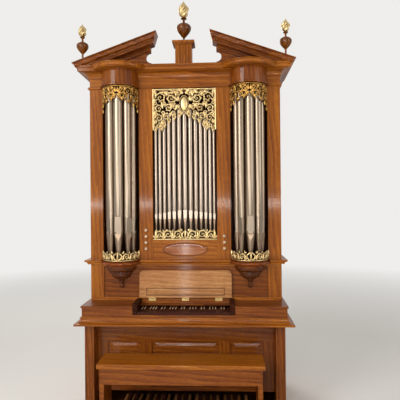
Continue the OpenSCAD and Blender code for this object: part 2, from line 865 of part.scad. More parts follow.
// Half a round shell about the tower's axis, in front of the case.
module half_shell(r, thick, low, high) {
    translate([tower_x, 0, low]) intersection() {
        difference() {
            cylinder(r = r, h = high - low);
            translate([0, 0, -1]) cylinder(r = r - thick, h = high - low + 2);
        }
        board([-r, -r, 0], [r, 0, high - low]);
    }
}

// Round holes (across, up, radius) through both halves of a tower shade, bored along Y.
module bored(holes) {
    translate([tower_x, 1, 0]) rotate([90, 0, 0]) linear_extrude(2 * drum_r)
        for (h = holes, side = h[0] == 0 ? [1] : [-1, 1]) translate([side * h[0], h[1]]) circle(h[2]);
}

// Round holes (back from the case, up, radius) through a tower shade from side to side.
module side_bored(holes) {
    translate([tower_x, 0, 0]) rotate([90, 0, 90]) linear_extrude(4 * drum_r, center = true)
        for (h = holes) translate([-h[0], h[1]]) circle(h[2]);
}

tower_front_holes = [
    [0, -30, 9], [36, -38, 11], [66, -32, 9], [95, -42, 9], [20, -72, 8], [50, -74, 12], [82, -78, 10], [96, -112, 7],
];
tower_side_holes = [[24, -34, 9], [64, -36, 10], [40, -74, 11], [72, -106, 8], [34, -124, 10], [22, -168, 8]];

// The lower edge of a tower shade as seen from the front, counted from its middle.
tower_edge = [
    [0, -tower_shade_mid_h], [34, -tower_shade_mid_h - 8], [80, -tower_shade_mid_h - 24],
    [116, -tower_shade_side_h + 62], [142, -tower_shade_side_h + 40], [drum_r - 13, -tower_shade_side_h - 1],
];

module tower_top_shades() {
    color(gilt) in_place() both() difference() {
        half_shell(drum_r - 1, shade_t, opening_top - tower_shade_side_h, opening_top);
        translate([0, 0, opening_top]) {
            translate([tower_x, 1, 0]) rotate([90, 0, 0]) linear_extrude(2 * drum_r) both()
                polygon(concat(tower_edge, [[0, -tower_shade_side_h - 1]]));
            bored(tower_front_holes);
            side_bored(tower_side_holes);
        }
    }
}

band_front_holes = [[0, 28, 10], [26, 56, 9], [42, 26, 11], [68, 54, 10], [88, 26, 9]];
band_side_holes = [[96, 52, 8], [76, 26, 9], [50, 54, 10], [26, 26, 9]];
band_scallop = 15;

module tower_bottom_shades() {
    color(gilt) in_place() both() difference() {
        half_shell(drum_r + 3, shade_t, upper_z, upper_z + tower_band_h);
        translate([0, 0, upper_z]) {
            bored(concat(band_front_holes, [for (x = [0, 46, 90]) [x, tower_band_h + 4, band_scallop]]));
            side_bored(concat(band_side_holes, [for (y = [30, 74]) [y, tower_band_h + 4, band_scallop]]));
        }
    }
}

architrave_h = 18;
architrave_reach = 14;

module architrave_section() {
    square([8, architrave_h]);
    square([architrave_reach, architrave_h - 7]);
}

module frieze() {
    color(oak) in_place() {
        board([-half_w, 0, opening_top], [half_w, front_t, cornice_top - board_t]);
        difference() {
            translate([0, 0, opening_top]) around(half_w, 0, case_depth, architrave_reach) architrave_section();
            both() translate([tower_x, 0, opening_top - 1]) cylinder(r = drum_r + architrave_reach, h = architrave_h + 2);
        }
    }
}

module tower_drums() {
    color(oak) in_place() both() translate([tower_x, 0, 0]) intersection() {
        union() {
            translate([0, 0, opening_top]) cylinder(r = drum_r, h = drum_top - opening_top);
            translate([0, 0, opening_top]) rotate_extrude() translate([drum_r, 0]) architrave_section();
        }
        board([-2 * drum_r, -2 * drum_r, opening_top], [2 * drum_r, 0, drum_top]);
    }
}

cyma_r = 18;

// A cyma of two quarter rounds with a fillet on top, from its lowest inner point.
module cyma(r, fillet) {
    intersection() {
        translate([0, r]) circle(r);
        square(r);
    }
    translate([0, r]) difference() {
        square([2 * r, r]);
        translate([2 * r, 0]) circle(r);
    }
    translate([0, 2 * r]) square([2 * r, fillet]);
}

cove_r = 46;

// The hollow bed moulding below a corona.
module bed_section() {
    square([8, 7]);
    difference() {
        square([cove_r + 8, cove_r + 6]);
        translate([cove_r + 8, 6]) circle(cove_r);
    }
    translate([0, cove_r + 6]) square([cove_r + 12, 6]);
}

// The level cornice: bed moulding and corona.
module level_section() {
    bed_section();
    translate([0, cove_r + 12]) square([cornice_reach - 12, cornice_h - cove_r - 12]);
    translate([0, cornice_h - 18]) square([cornice_reach - 6, 18]);
    translate([0, cornice_h - 11]) square([cornice_reach, 11]);
}

// The side cornice, which has the crown moulding too.
module crown_section() {
    height = cornice_h + crown_rise;
    bed_section();
    translate([0, cove_r + 12]) square([crown_reach - 2 * cyma_r, height - cove_r - 12]);
    translate([crown_reach - 2 * cyma_r, height - 2 * cyma_r - 6]) cyma(cyma_r, 6);
}

// The round cornice over a tower.
module tower_crown_section() {
    r = 15;
    square([tower_cornice_reach - 2 * r, tower_crown_h]);
    translate([tower_cornice_reach - 2 * r, tower_crown_h - 2 * r - 4]) cyma(r, 4);
}

rake_fillet = 32;

// The raking cornice, square to its slope: drip fillet, flat band, bead and cyma.
module rake_section() {
    face = crown_reach - rake_fillet - 10;
    square([face, rake_h - 2 * cyma_r]);
    square([crown_reach - rake_fillet, 8]);
    translate([crown_reach - rake_fillet - 4, 8]) circle(4);
    translate([face, rake_h - 2 * cyma_r - 10]) circle(4);
    translate([0, rake_h - 2 * cyma_r - 6]) square([crown_reach - 2 * cyma_r, 2 * cyma_r + 6]);
    translate([crown_reach - 2 * cyma_r, rake_h - 2 * cyma_r - 6]) cyma(cyma_r, 6);
}

module cornice() {
    color(oak) in_place() {
        difference() {
            translate([0, 0, bed_z]) {
                intersection() {
                    around(half_w, 0, case_depth, crown_reach) level_section();
                    board([-half_w - crown_reach, -crown_reach, 0], [half_w + crown_reach, 0, cornice_h]);
                }
                intersection() {
                    around(half_w, 0, case_depth, crown_reach) crown_section();
                    linear_extrude(cornice_h + crown_rise) both()
                        polygon([[half_w, 0], [tip_x, -crown_reach], [tip_x, case_depth], [half_w, case_depth]]);
                }
            }
            both() translate([tower_x, 0, bed_z - 1]) cylinder(r = drum_r, h = drum_top - bed_z + 1);
        }
        both() translate([tower_x, 0, drum_top]) intersection() {
            union() {
                rotate_extrude() translate([drum_r, 0]) tower_crown_section();
                cylinder(r = drum_r, h = tower_crown_h);
            }
            board([-2 * drum_r, -2 * drum_r, 0], [2 * drum_r, 0, tower_crown_h]);
        }
    }
}

tip_x = half_w + crown_reach;
rake_back = 30;
end_setback = 27;

// The right raking cornice, resting on the level and the side cornice.
module raking_cornice() {
    run = (tip_x - pediment_gap + 60) / cos(rake);
    difference() {
        intersection() {
            translate([tip_x, 0, tip_z]) rotate([0, rake, 0]) translate([-run / 2, 0, -rake_h]) {
                front_run(run) rake_section();
                board([-run / 2, 0, 0], [run / 2, rake_back, rake_h]);
            }
            translate([0, rake_back + 1, 0]) rotate([90, 0, 0]) linear_extrude(2 * crown_reach)
                polygon([[pediment_gap + end_setback, 0], [tip_x, 0], [tip_x, 2 * tip_z], [pediment_gap, 2 * tip_z],
                         [pediment_gap, peak_z], [pediment_gap + end_setback, peak_z - rake_h / cos(rake)]]);
        }
        board([0, -cornice_reach, 0], [half_w + cornice_reach, rake_back + 2, cornice_top]);
        board([0, -2 * crown_reach, 0], [2 * tip_x, rake_back + 2, cornice_top - 2 * cyma_r]);
        translate([0, 0, -1]) linear_extrude(tip_z + 1)
            polygon([[half_w, 0], [tip_x, -crown_reach], [2 * tip_x, -crown_reach], [2 * tip_x, rake_back + 2],
                     [half_w, rake_back + 2]]);
    }
}

peak_z = tip_z + (tip_x - pediment_gap) * tan(rake);

module raking_cornices() {
    color(oak) in_place() both() raking_cornice();
}

tympanum_x = 282;
bite_r = 43;
bite_rise = 34;
under_rake_h = 34;
under_rake_t = 18;

module tympanum_boards() {
    drop = rake_h / cos(rake);
    under_tip = tip_z - drop - cornice_top;
    rise = (tip_x - tympanum_x) * tan(rake) + under_tip;
    outer_x = tip_x + under_tip / tan(rake);
    color(oak) in_place() both() translate([0, 0, cornice_top]) rotate([90, 0, 0]) {
        translate([0, 0, -tympanum_t]) linear_extrude(tympanum_t) difference() {
            polygon([[tympanum_x, 0], [outer_x, 0], [tympanum_x, rise]]);
            translate([tympanum_x, bite_r + bite_rise]) circle(bite_r);
        }
        linear_extrude(under_rake_t) difference() {
            polygon([[tympanum_x, rise - under_rake_h], [outer_x - under_rake_h / tan(rake), 0], [outer_x, 0], [tympanum_x, rise]]);
            translate([tympanum_x, bite_r + bite_rise]) circle(bite_r);
        }
    }
}

pedestal_y = -20;
pedestal_depth = 120;
flute_depth = 8;
bed_reach = 11;
bed_h = 9;

module pedestal() {
    cap = 24;
    color(oak) in_place() {
        translate([0, 0, cornice_top]) linear_extrude(pedestal_h) difference() {
            translate([-pedestal_w / 2, pedestal_y]) square([pedestal_w, pedestal_depth]);
            for (i = [-2 : 2]) translate([i * pedestal_w / 6, pedestal_y]) circle(flute_depth);
        }
        board([-pedestal_w / 2 - bed_reach, pedestal_y - bed_reach, cornice_top + pedestal_h - bed_h],
              [pedestal_w / 2 + bed_reach, pedestal_y + pedestal_depth + bed_reach, cornice_top + pedestal_h]);
        board([-pedestal_w / 2 - cap, pedestal_y - cap, cornice_top + pedestal_h],
              [pedestal_w / 2 + cap, pedestal_y + pedestal_depth + cap, cornice_top + pedestal_h + pedestal_cap_h]);
    }
}

side_finial_x = half_w + 44;
side_finial_z = tip_z + (tip_x - side_finial_x) * tan(rake);
side_stem_h = 61;
stem_h = 44;
stem_r = 8;
stem_foot_r = 14;
urn_y = pedestal_y + pedestal_depth / 2;
side_urn_y = -52;

// Radius of a heart-shaped urn at share t of its height, for diameter 1.
function urn_r(t) = t < 0.68 ? 0.06 + 0.44 * pow(sin(90 * t / 0.68), 0.95) : 0.5 * pow(cos(90 * (t - 0.68) / 0.32), 0.42);

neck_h = 42;
cup_h = 15;

// A turned urn of diameter d on its pointed foot, with a slim neck that carries a cup.
module urn(d) {
    steps = 14;
    neck_r = 0.08 * d;
    rotate_extrude() {
        polygon(concat([[0, 0]], [for (i = [0 : steps]) [max(urn_r(i / steps) * d, neck_r), i / steps * d]], [[0, d]]));
        translate([0, d - 1]) square([neck_r, neck_h - cup_h + 2]);
        polygon([[0, d + neck_h - cup_h], [neck_r, d + neck_h - cup_h], [0.2 * d, d + neck_h - 0.35 * cup_h],
                 [0.2 * d, d + neck_h], [0, d + neck_h]]);
    }
}

cap_top = cornice_top + pedestal_h + pedestal_cap_h;

module finial_urns() {
    color(oak_dark) in_place() {
        translate([0, urn_y, cap_top]) {
            cylinder(r = stem_r, h = stem_h + 1);
            cylinder(r = stem_foot_r, h = 6);
            translate([0, 0, stem_h]) urn(urn_d);
        }
        both() translate([side_finial_x, side_urn_y, 0]) {
            translate([0, 0, side_finial_z + side_stem_h]) urn(side_urn_d);
            difference() {
                translate([0, 0, tip_z - 20]) cylinder(r = stem_r, h = side_finial_z - tip_z + side_stem_h + 21);
                translate([tip_x - side_finial_x, 0, tip_z]) rotate([0, rake, 0])
                    board([-400, -100, -200], [100, 100, 0]);
            }
        }
    }
}

flame_h = 155;
flame_d = 74;
side_flame_h = 115;
side_flame_d = 60;

// A turned tongue of flame, full in its middle and blunt at its tip.
module tongue(h, w) {
    steps = 10;
    rotate_extrude() polygon(concat([[0, h], [0, 0]],
        [for (i = [0 : steps - 1]) let (t = i / steps) [w * 0.14 + w * 0.36 * sin(180 * pow(t, 0.8)), h * t]]));
}

// A gilt flame of height h and diameter d: one tall tongue among three that curl away from it.
module flame(h, d) {
    tongue(h, d * 0.66);
    for (a = [30, 150, 270]) rotate(a) translate([d * 0.12, 0, h * 0.02]) rotate([12, 8, 0]) tongue(h * 0.8, d * 0.46);
}

module finial_flames() {
    color(gilt) in_place() {
        translate([0, urn_y, cap_top + stem_h + urn_d + neck_h]) flame(flame_h, flame_d);
        both() translate([side_finial_x, side_urn_y, side_finial_z + side_stem_h + side_urn_d + neck_h])
            flame(side_flame_h, side_flame_d);
    }
}

bench_back = -bench_reach + bench_d;
pedals_w = pedal_naturals_n * pedal_pitch;
pedal_cheek = 28;
bench_w = pedals_w + 2 * (pedal_cheek + bench_gap + bench_end_t + bench_inset);

bench_round = 11;

// The seat, rounded over along its front and back.
module bench_seat() {
    r = bench_round;
    color(oak) in_place() translate([-bench_w / 2, -bench_reach, bench_z - bench_top_t]) rotate([90, 0, 90])
        linear_extrude(bench_w) {
            square([bench_d, bench_top_t - r]);
            translate([r, 0]) square([bench_d - 2 * r, bench_top_t]);
            for (y = [r, bench_d - r]) translate([y, bench_top_t - r]) circle(r);
        }
}

module bench_frame() {
    side = bench_w / 2 - bench_inset;
    under = bench_z - bench_top_t;
    color(oak) in_place() {
        both() board([side - bench_end_t, -bench_reach + bench_inset, 0], [side, bench_back - bench_inset, under]);
        board([-side + bench_end_t, -bench_reach + bench_inset, under - bench_apron_h],
              [side - bench_end_t, -bench_reach + bench_inset + board_t, under]);
        board([-side + bench_end_t, bench_back - bench_inset - board_t, under - bench_apron_h],
              [side - bench_end_t, bench_back - bench_inset, under]);
    }
}

pedal_w = 22;
pedal_t = 26;
pedal_z = 60;
pedal_frame_h = 96;
pedal_rail_t = 30;
heel_z = 30;

module pedal_frame() {
    side = pedals_w / 2 + pedal_cheek;
    color(oak_dark) in_place() {
        both() board([side - pedal_cheek, -pedal_reach, 0], [side, -knee_reach - seat, pedal_frame_h]);
        board([-side + pedal_cheek, -pedal_reach, 0], [side - pedal_cheek, -pedal_reach + pedal_rail_t, pedal_frame_h]);
        board([-side + pedal_cheek, -knee_reach - 60, 0], [side - pedal_cheek, -knee_reach - 30, pedal_z]);
        board([-side + pedal_cheek, -pedal_reach + pedal_rail_t, 0], [side - pedal_cheek, -pedal_reach + 90, pedal_z]);
    }
}

module pedal_naturals() {
    color(oak_light) in_place() for (i = [0 : pedal_naturals_n - 1])
        board([-pedals_w / 2 + (i + 0.5) * pedal_pitch - pedal_w / 2, -pedal_reach + pedal_rail_t + 2, pedal_z],
              [-pedals_w / 2 + (i + 0.5) * pedal_pitch + pedal_w / 2, 40, pedal_z + pedal_t]);
}

module pedal_sharps() {
    sharp_rise = 50;
    color(ebony) in_place() for (i = [0 : pedal_naturals_n - 2])
        if (has_sharp(i)) translate([-pedals_w / 2 + (i + 1) * pedal_pitch, 0, 0])
            board([-pedal_w / 2, -knee_reach - 160, pedal_z],
                  [pedal_w / 2, 40, pedal_z + sharp_rise]);
}

front_posts();
lower_sides();
lower_back();
back_panels();
case_floor();
knee_frame();
knee_panels();
shelf_moulding();
key_desk();
key_cheeks();
natural_keys();
sharp_keys();
name_board();
lid_hinges();
lid_knuckles();
desk_lid();
music_ledge();
middle_frame();
middle_panel();
impost_moulding();
tower_corbels();
outer_stiles();
inner_stiles();
plinth_board();
oval_panel();
upper_sides();
upper_back();
roof_board();
centre_toe_board();
tower_pipes_left();
tower_pipes_right();
centre_pipes();
centre_top_shade();
centre_bottom_shade();
tower_top_shades();
tower_bottom_shades();
frieze();
tower_drums();
cornice();
raking_cornices();
tympanum_boards();
pedestal();
finial_urns();
finial_flames();
bench_seat();
bench_frame();
pedal_frame();
pedal_naturals();
pedal_sharps();
stop_knob(0);  // stop_knob_1
stop_knob(1);  // stop_knob_2
stop_knob(2);  // stop_knob_3
stop_knob(3);  // stop_knob_4
stop_knob(4);  // stop_knob_5
stop_knob(5);  // stop_knob_6
stop_knob(6);  // stop_knob_7
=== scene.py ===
"""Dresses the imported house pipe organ.

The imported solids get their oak, tin, gold leaf, ebony and bone finishes. The carved shades and flames, the
flue pipes, the sharps and the small mouldings are modelled as pieces of their own. The floor, the lights and
the camera come last.
"""
import json
import logging
import math
from collections.abc import Callable, Iterable, Sequence
from dataclasses import dataclass, field
from enum import Enum

import bpy
from mathutils import Matrix, Vector

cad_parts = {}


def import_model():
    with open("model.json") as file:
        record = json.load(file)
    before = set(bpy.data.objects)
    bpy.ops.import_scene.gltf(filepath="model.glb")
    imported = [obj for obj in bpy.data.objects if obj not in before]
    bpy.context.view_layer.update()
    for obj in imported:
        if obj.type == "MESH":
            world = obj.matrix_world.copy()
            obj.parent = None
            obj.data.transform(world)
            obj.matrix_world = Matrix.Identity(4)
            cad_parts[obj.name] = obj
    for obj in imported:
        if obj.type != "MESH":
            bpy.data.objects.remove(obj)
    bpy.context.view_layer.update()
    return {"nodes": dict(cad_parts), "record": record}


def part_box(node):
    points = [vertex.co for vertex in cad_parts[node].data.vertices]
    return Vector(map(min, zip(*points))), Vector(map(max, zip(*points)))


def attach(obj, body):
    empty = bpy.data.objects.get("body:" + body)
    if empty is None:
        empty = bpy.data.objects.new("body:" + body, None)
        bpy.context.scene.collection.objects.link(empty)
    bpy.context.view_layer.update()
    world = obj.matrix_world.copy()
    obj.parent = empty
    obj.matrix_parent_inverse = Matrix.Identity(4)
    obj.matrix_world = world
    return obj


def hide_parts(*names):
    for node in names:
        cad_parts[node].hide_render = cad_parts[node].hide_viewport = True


LOG = logging.getLogger("organ")
MM = 0.001

Colour = tuple[float, float, float, float]
Shade = tuple[int, int, int]
Flat = tuple[float, float]
Place = tuple[float, float, float]
Piece = bpy.types.Object
Finish = bpy.types.Material
Socket = bpy.types.NodeSocket
Rule = Callable[[Vector], Vector]
Inputs = dict[str | int, object]
Scroll = tuple[float, float, float, float, int]
Leaf = tuple[float, float, float, float, float]
Bar = tuple[tuple[Flat, ...], float, float]
Pipe = tuple[Vector, float, float, float, float]


def srgb(red: int, green: int, blue: int) -> Colour:
    """Turns a display colour into the linear one that shaders take.

    Args:
        red: Red from 0 to 255.
        green: Green from 0 to 255.
        blue: Blue from 0 to 255.

    Returns:
        The linear colour with full alpha.
    """
    parts = [c / 255 for c in (red, green, blue)]
    linear = [c / 12.92 if c <= 0.04045 else ((c + 0.055) / 1.055) ** 2.4 for c in parts]
    return (linear[0], linear[1], linear[2], 1.0)


def palette(dark: Shade, middle: Shade, pale: Shade) -> dict[str, Colour]:
    """Returns the three tones of a wood as linear colours."""
    return {"dark": srgb(*dark), "middle": srgb(*middle), "pale": srgb(*pale)}


FIBRE_TINTS = (srgb(196, 180, 164), srgb(255, 255, 255))
BLOTCH_TINTS = (srgb(232, 214, 206), srgb(255, 250, 240))
WHITE: Colour = (1.0, 1.0, 1.0, 1.0)
BLACK: Colour = (0.0, 0.0, 0.0, 1.0)


class Grain(Enum):
    """The way the grain of a board runs, as the scale of the pattern along each axis."""

    UP = (1.0, 1.0, 0.06)
    ACROSS = (0.06, 1.0, 1.0)
    DEEP = (1.0, 0.06, 1.0)


class Graph:
    """The node tree of a finish or of the world, with short calls to add and join nodes."""

    def __init__(self, name: str, world: bool = False) -> None:
        """Starts a tree that holds only its output.

        Args:
            name: The name of the finish or of the world.
            world: True for the world's tree.
        """
        self.owner = (bpy.data.worlds if world else bpy.data.materials).new(name)
        self.owner.use_nodes = True
        self.tree = self.owner.node_tree
        self.tree.nodes.clear()
        self.output = self.tree.nodes.new("ShaderNodeOutput" + ("World" if world else "Material"))

    def add(self, kind: str, inputs: Inputs | None = None, **settings: object) -> bpy.types.Node:
        """Adds a node.

        Args:
            kind: The node's type, without the ShaderNode prefix.
            inputs: Values or output sockets for the node's inputs.
            settings: Properties of the node.

        Returns:
            The node.
        """
        node = self.tree.nodes.new("ShaderNode" + kind)
        for key, value in settings.items():
            setattr(node, key, value)
        for key, value in (inputs or {}).items():
            if isinstance(value, Socket):
                self.tree.links.new(value, node.inputs[key])
            else:
                node.inputs[key].default_value = value
        return node

    def maths(self, operation: str, first: object, second: object = 0.0) -> Socket:
        """Returns the result of a Math node on two values or sockets."""
        return self.add("Math", {0: first, 1: second}, operation=operation).outputs[0]

    def total(self, *parts: tuple[Socket, float]) -> Socket:
        """Adds up values.

        Args:
            parts: Each value with its share.

        Returns:
            The sum of the values times their shares.
        """
        scaled = [self.maths("MULTIPLY", value, share) for value, share in parts]
        result = scaled[0]
        for part in scaled[1:]:
            result = self.maths("ADD", result, part)
        return result

    def mix(self, share: object, first: object, second: object, blend: str = "MIX") -> Socket:
        """Mixes two colours.

        Args:
            share: How much of the second colour shows.
            first: The first colour or socket.
            second: The second colour or socket.
            blend: The mixing mode.

        Returns:
            The mixed colour's socket.
        """
        node = self.add("Mix", {0: share, 6: first, 7: second}, data_type="RGBA", blend_type=blend)
        return node.outputs[2]

    def ramp(self, value: Socket, places: Sequence[float], colours: Sequence[Colour]) -> Socket:
        """Colours a value by a ramp.

        Args:
            value: The value.
            places: The values at which the ramp's colours stand, from 0 to 1.
            colours: The ramp's colours.

        Returns:
            The colour's socket.
        """
        node = self.add("ValToRGB", {0: value})
        elements = node.color_ramp.elements
        while len(elements) < len(places):
            elements.new(0.5)
        for element, place, colour in zip(elements, places, colours):
            element.position = place
            element.color = colour
        return node.outputs[0]

    def noise(self, vector: Socket, scale: float, detail: float = 3.0) -> Socket:
        """Returns a noise value at a scale."""
        return self.add("TexNoise", {"Vector": vector, "Scale": scale, "Detail": detail}).outputs[0]

    def coordinates(self) -> Socket:
        """Returns the piece's own coordinates in metres."""
        return self.add("TexCoord").outputs["Object"]

    def stretched(self, scale: Sequence[float], offset: Sequence[float] = (0.0, 0.0, 0.0)) -> Socket:
        """Returns the piece's own coordinates, scaled along each axis and moved."""
        inputs = {"Vector": self.coordinates(), "Scale": scale, "Location": offset}
        return self.add("Mapping", inputs).outputs[0]

    def height(self) -> Socket:
        """Returns the height above the floor in metres."""
        return self.add("SeparateXYZ", {0: self.coordinates()}).outputs[2]

    def sheen(self, value: Socket, middle: float, spread: float) -> Socket:
        """Returns a roughness that follows a value round its middle."""
        return self.maths("ADD", self.maths("MULTIPLY", value, spread), middle - spread / 2)

    def relief(self, height: Socket, depth: float, edge: float = 0.0) -> Socket:
        """Bumps the surface, over edges that are rounded where edge is set.

        Args:
            height: The height of the surface from 0 to 1.
            depth: The depth of the relief in metres.
            edge: The radius that softens the edges in metres.

        Returns:
            The normal's socket.
        """
        inputs: Inputs = {"Height": height, "Distance": depth, "Strength": 1.0}
        if edge:
            inputs["Normal"] = self.add("Bevel", {"Radius": edge}, samples=4).outputs[0]
        return self.add("Bump", inputs).outputs[0]

    def end(self, shader: Socket) -> bpy.types.ID:
        """Joins the last shader to the output and returns the finish or the world."""
        self.tree.links.new(shader, self.output.inputs[0])
        return self.owner

    def surface(self, inputs: Inputs) -> Finish:
        """Ends the tree in a Principled shader and returns the finish."""
        return self.end(self.add("BsdfPrincipled", inputs).outputs[0])


@dataclass(frozen=True)
class Wood:
    """Varnished wood with year rings, streaks, fibres and pores.

    Scales are per metre, and depths, edges and heights in metres. A frame's rails take the grain across:
    they are the parts below or above the two heights in rails. A piece with a crown is painted paler above
    that height: painted light on its top.
    """

    name: str
    dark: Colour
    middle: Colour
    pale: Colour
    grain: Grain = Grain.UP
    rails: tuple[float, float] | None = None
    ring_scale: float = 16.0
    figure: float = 5.0
    ring_detail: float = 2.5
    ring_detail_scale: float = 1.6
    tone_scale: float = 9.0
    streak_scale: float = 60.0
    fibre_scale: float = 420.0
    pore_scale: float = 520.0
    blotch_scale: float = 2.2
    ring_share: float = 0.24
    tone_share: float = 0.46
    streak_share: float = 0.32
    stops: tuple[float, float, float] = (0.29, 0.5, 0.72)
    fibre_stops: Flat = (0.3, 0.62)
    fibre_share: float = 0.85
    blotch_stops: Flat = (0.3, 0.7)
    blotch_share: float = 0.8
    pore_size: float = 0.2
    pore_rings: float = 0.45
    pore_share: float = 0.5
    roughness: float = 0.5
    sheen_spread: float = 0.14
    fibre_depth: float = 0.00025
    varnish: float = 0.3
    varnish_roughness: float = 0.1
    varnish_depth: float = 0.00004
    gloss: float = 0.1
    edge: float = 0.0014
    # Painted light: above the crown height the colour is made paler by the gain below, as light on the top.
    crown: float | None = None
    painted_light_gain: float = 2.1
    seed: float = 0.0

    def run(self, graph: Graph, grain: Grain) -> Socket:
        """Returns the coordinates stretched along the grain."""
        return graph.stretched(grain.value, (self.seed, self.seed * 0.7, self.seed * 1.3))

    def along(self, graph: Graph) -> Socket:
        """Runs the grain along stiles and rails.

        Args:
            graph: The finish's tree.

        Returns:
            The coordinates along the grain.
        """
        upright = self.run(graph, self.grain)
        if self.rails is None:
            return upright
        level = self.run(graph, Grain.ACROSS)
        height = graph.height()
        below = graph.maths("LESS_THAN", height, self.rails[0])
        above = graph.maths("GREATER_THAN", height, self.rails[1])
        share = graph.maths("MAXIMUM", below, above)
        return graph.add("Mix", {0: share, 4: upright, 5: level}, data_type="VECTOR").outputs[1]

    def rings(self, graph: Graph, vector: Socket) -> Socket:
        """Draws the year rings.

        Args:
            graph: The finish's tree.
            vector: The coordinates along the grain.

        Returns:
            The rings' value.
        """
        inputs = {"Vector": vector, "Scale": self.ring_scale, "Distortion": self.figure,
                  "Detail": self.ring_detail, "Detail Scale": self.ring_detail_scale}
        return graph.add("TexWave", inputs, bands_direction="DIAGONAL", wave_profile="SAW").outputs[1]

    def build(self) -> Finish:
        """Builds the finish.

        Returns:
            The finish.
        """
        graph = Graph(self.name)
        vector = self.along(graph)
        rings = self.rings(graph, vector)
        tone = graph.noise(vector, self.tone_scale, 4.0)
        fibre = graph.noise(vector, self.fibre_scale, 2.0)
        pores = graph.add("TexVoronoi", {"Vector": vector, "Scale": self.pore_scale}).outputs[0]
        blotch = graph.noise(graph.coordinates(), self.blotch_scale, 2.0)
        streaks = graph.noise(vector, self.streak_scale, 3.0)
        shares = (self.ring_share, self.tone_share, self.streak_share)
        pattern = graph.total(*zip((rings, tone, streaks), shares))
        wood = graph.ramp(pattern, self.stops, (self.dark, self.middle, self.pale))
        # Painted light: the part above the crown height is made paler, as if lit from above.
        if self.crown is not None:
            above = graph.maths("GREATER_THAN", graph.height(), self.crown)
            wood = graph.mix(above, wood, (self.painted_light_gain,) * 3 + (1.0,), "MULTIPLY")
        fibres = graph.ramp(fibre, self.fibre_stops, FIBRE_TINTS)
        wood = graph.mix(self.fibre_share, wood, fibres, "MULTIPLY")
        pored = graph.maths("LESS_THAN", pores, self.pore_size)
        open_pores = graph.maths("MULTIPLY", pored, graph.maths("LESS_THAN", rings, self.pore_rings))
        wood = graph.mix(graph.maths("MULTIPLY", open_pores, self.pore_share), wood, self.dark)
        warm = graph.ramp(blotch, self.blotch_stops, BLOTCH_TINTS)
        wood = graph.mix(self.blotch_share, wood, warm, "MULTIPLY")
        height = graph.maths("SUBTRACT", fibre, open_pores)
        return graph.surface({
            "Base Color": wood, "Roughness": graph.sheen(fibre, self.roughness, self.sheen_spread),
            "Normal": graph.relief(height, self.fibre_depth, self.edge), "Coat Weight": self.varnish,
            "Coat Roughness": self.varnish_roughness,
            "Coat Normal": graph.relief(fibre, self.varnish_depth, self.edge),
            "Specular IOR Level": self.gloss,
        })


@dataclass(frozen=True)
class Metal:
    """A drawn, cast or leafed metal with streaks, and painted shade that darkens it in its hollows."""

    name: str
    bright: Colour
    dull: Colour
    roughness: float
    streaks: Place = (1.0, 1.0, 1.0)
    streak_scale: float = 60.0
    cloud_scale: float = 14.0
    stops: Flat = (0.32, 0.6)
    sheen_spread: float = 0.16
    dents: float = 0.0001
    hollow: float = 0.0
    hollow_shade_stops: Flat = (0.35, 0.85)
    hollow_shade_colour: Colour = BLACK
    edge: float = 0.0005

    def build(self) -> Finish:
        """Builds the finish.

        Returns:
            The finish.
        """
        graph = Graph(self.name)
        streak = graph.noise(graph.stretched(self.streaks), self.streak_scale, 4.0)
        cloud = graph.noise(graph.coordinates(), self.cloud_scale, 3.0)
        share = graph.maths("MULTIPLY", graph.maths("ADD", streak, cloud), 0.5)
        colour = graph.ramp(share, self.stops, (self.dull, self.bright))
        # Painted shade: ambient occlusion darkens the colour towards the hollow shade colour where the
        # surface is hemmed in.
        if self.hollow:
            open_share = graph.add("AmbientOcclusion", {"Distance": self.hollow}, samples=6).outputs[1]
            depth = graph.ramp(open_share, self.hollow_shade_stops, (WHITE, BLACK))
            colour = graph.mix(depth, colour, self.hollow_shade_colour)
        return graph.surface({
            "Base Color": colour, "Metallic": 1.0,
            "Roughness": graph.sheen(streak, self.roughness, self.sheen_spread),
            "Normal": graph.relief(streak, self.dents, self.edge),
        })


@dataclass(frozen=True)
class Polish:
    """A polished close-grained material such as bone or ebony."""

    name: str
    light: Colour
    deep: Colour
    roughness: float
    coat: float
    scale: float = 90.0
    gloss: float = 0.4
    stretch: Place = (1.0, 0.1, 1.0)
    stops: Flat = (0.35, 0.65)
    sheen_spread: float = 0.12
    coat_roughness: float = 0.12
    depth: float = 0.00005
    edge: float = 0.0006

    def build(self) -> Finish:
        """Builds the finish.

        Returns:
            The finish.
        """
        graph = Graph(self.name)
        lines = graph.noise(graph.stretched(self.stretch), self.scale, 3.0)
        colour = graph.ramp(lines, self.stops, (self.deep, self.light))
        return graph.surface({
            "Base Color": colour, "Roughness": graph.sheen(lines, self.roughness, self.sheen_spread),
            "Coat Weight": self.coat, "Coat Roughness": self.coat_roughness,
            "Specular IOR Level": self.gloss, "Normal": graph.relief(lines, self.depth, self.edge),
        })


OAK = palette((126, 66, 6), (160, 94, 18), (186, 118, 34))
DEEP_OAK = palette((92, 42, 4), (128, 68, 10), (154, 90, 22))
STAINED = palette((52, 26, 12), (76, 40, 16), (98, 56, 24))
BLACKENED = palette((38, 16, 7), (58, 27, 12), (76, 38, 17))
LID_OAK = palette((156, 104, 58), (184, 132, 82), (204, 154, 104))
WALNUT = palette((72, 34, 4), (112, 62, 12), (144, 86, 26))
VENEER = palette((112, 52, 18), (160, 96, 48), (206, 150, 104))
# Painted shade: a darker copy of the oak for the turned corbels, whose undersides stand in shade.
SHADED_TURNED = palette((54, 24, 4), (90, 44, 9), (118, 64, 20))

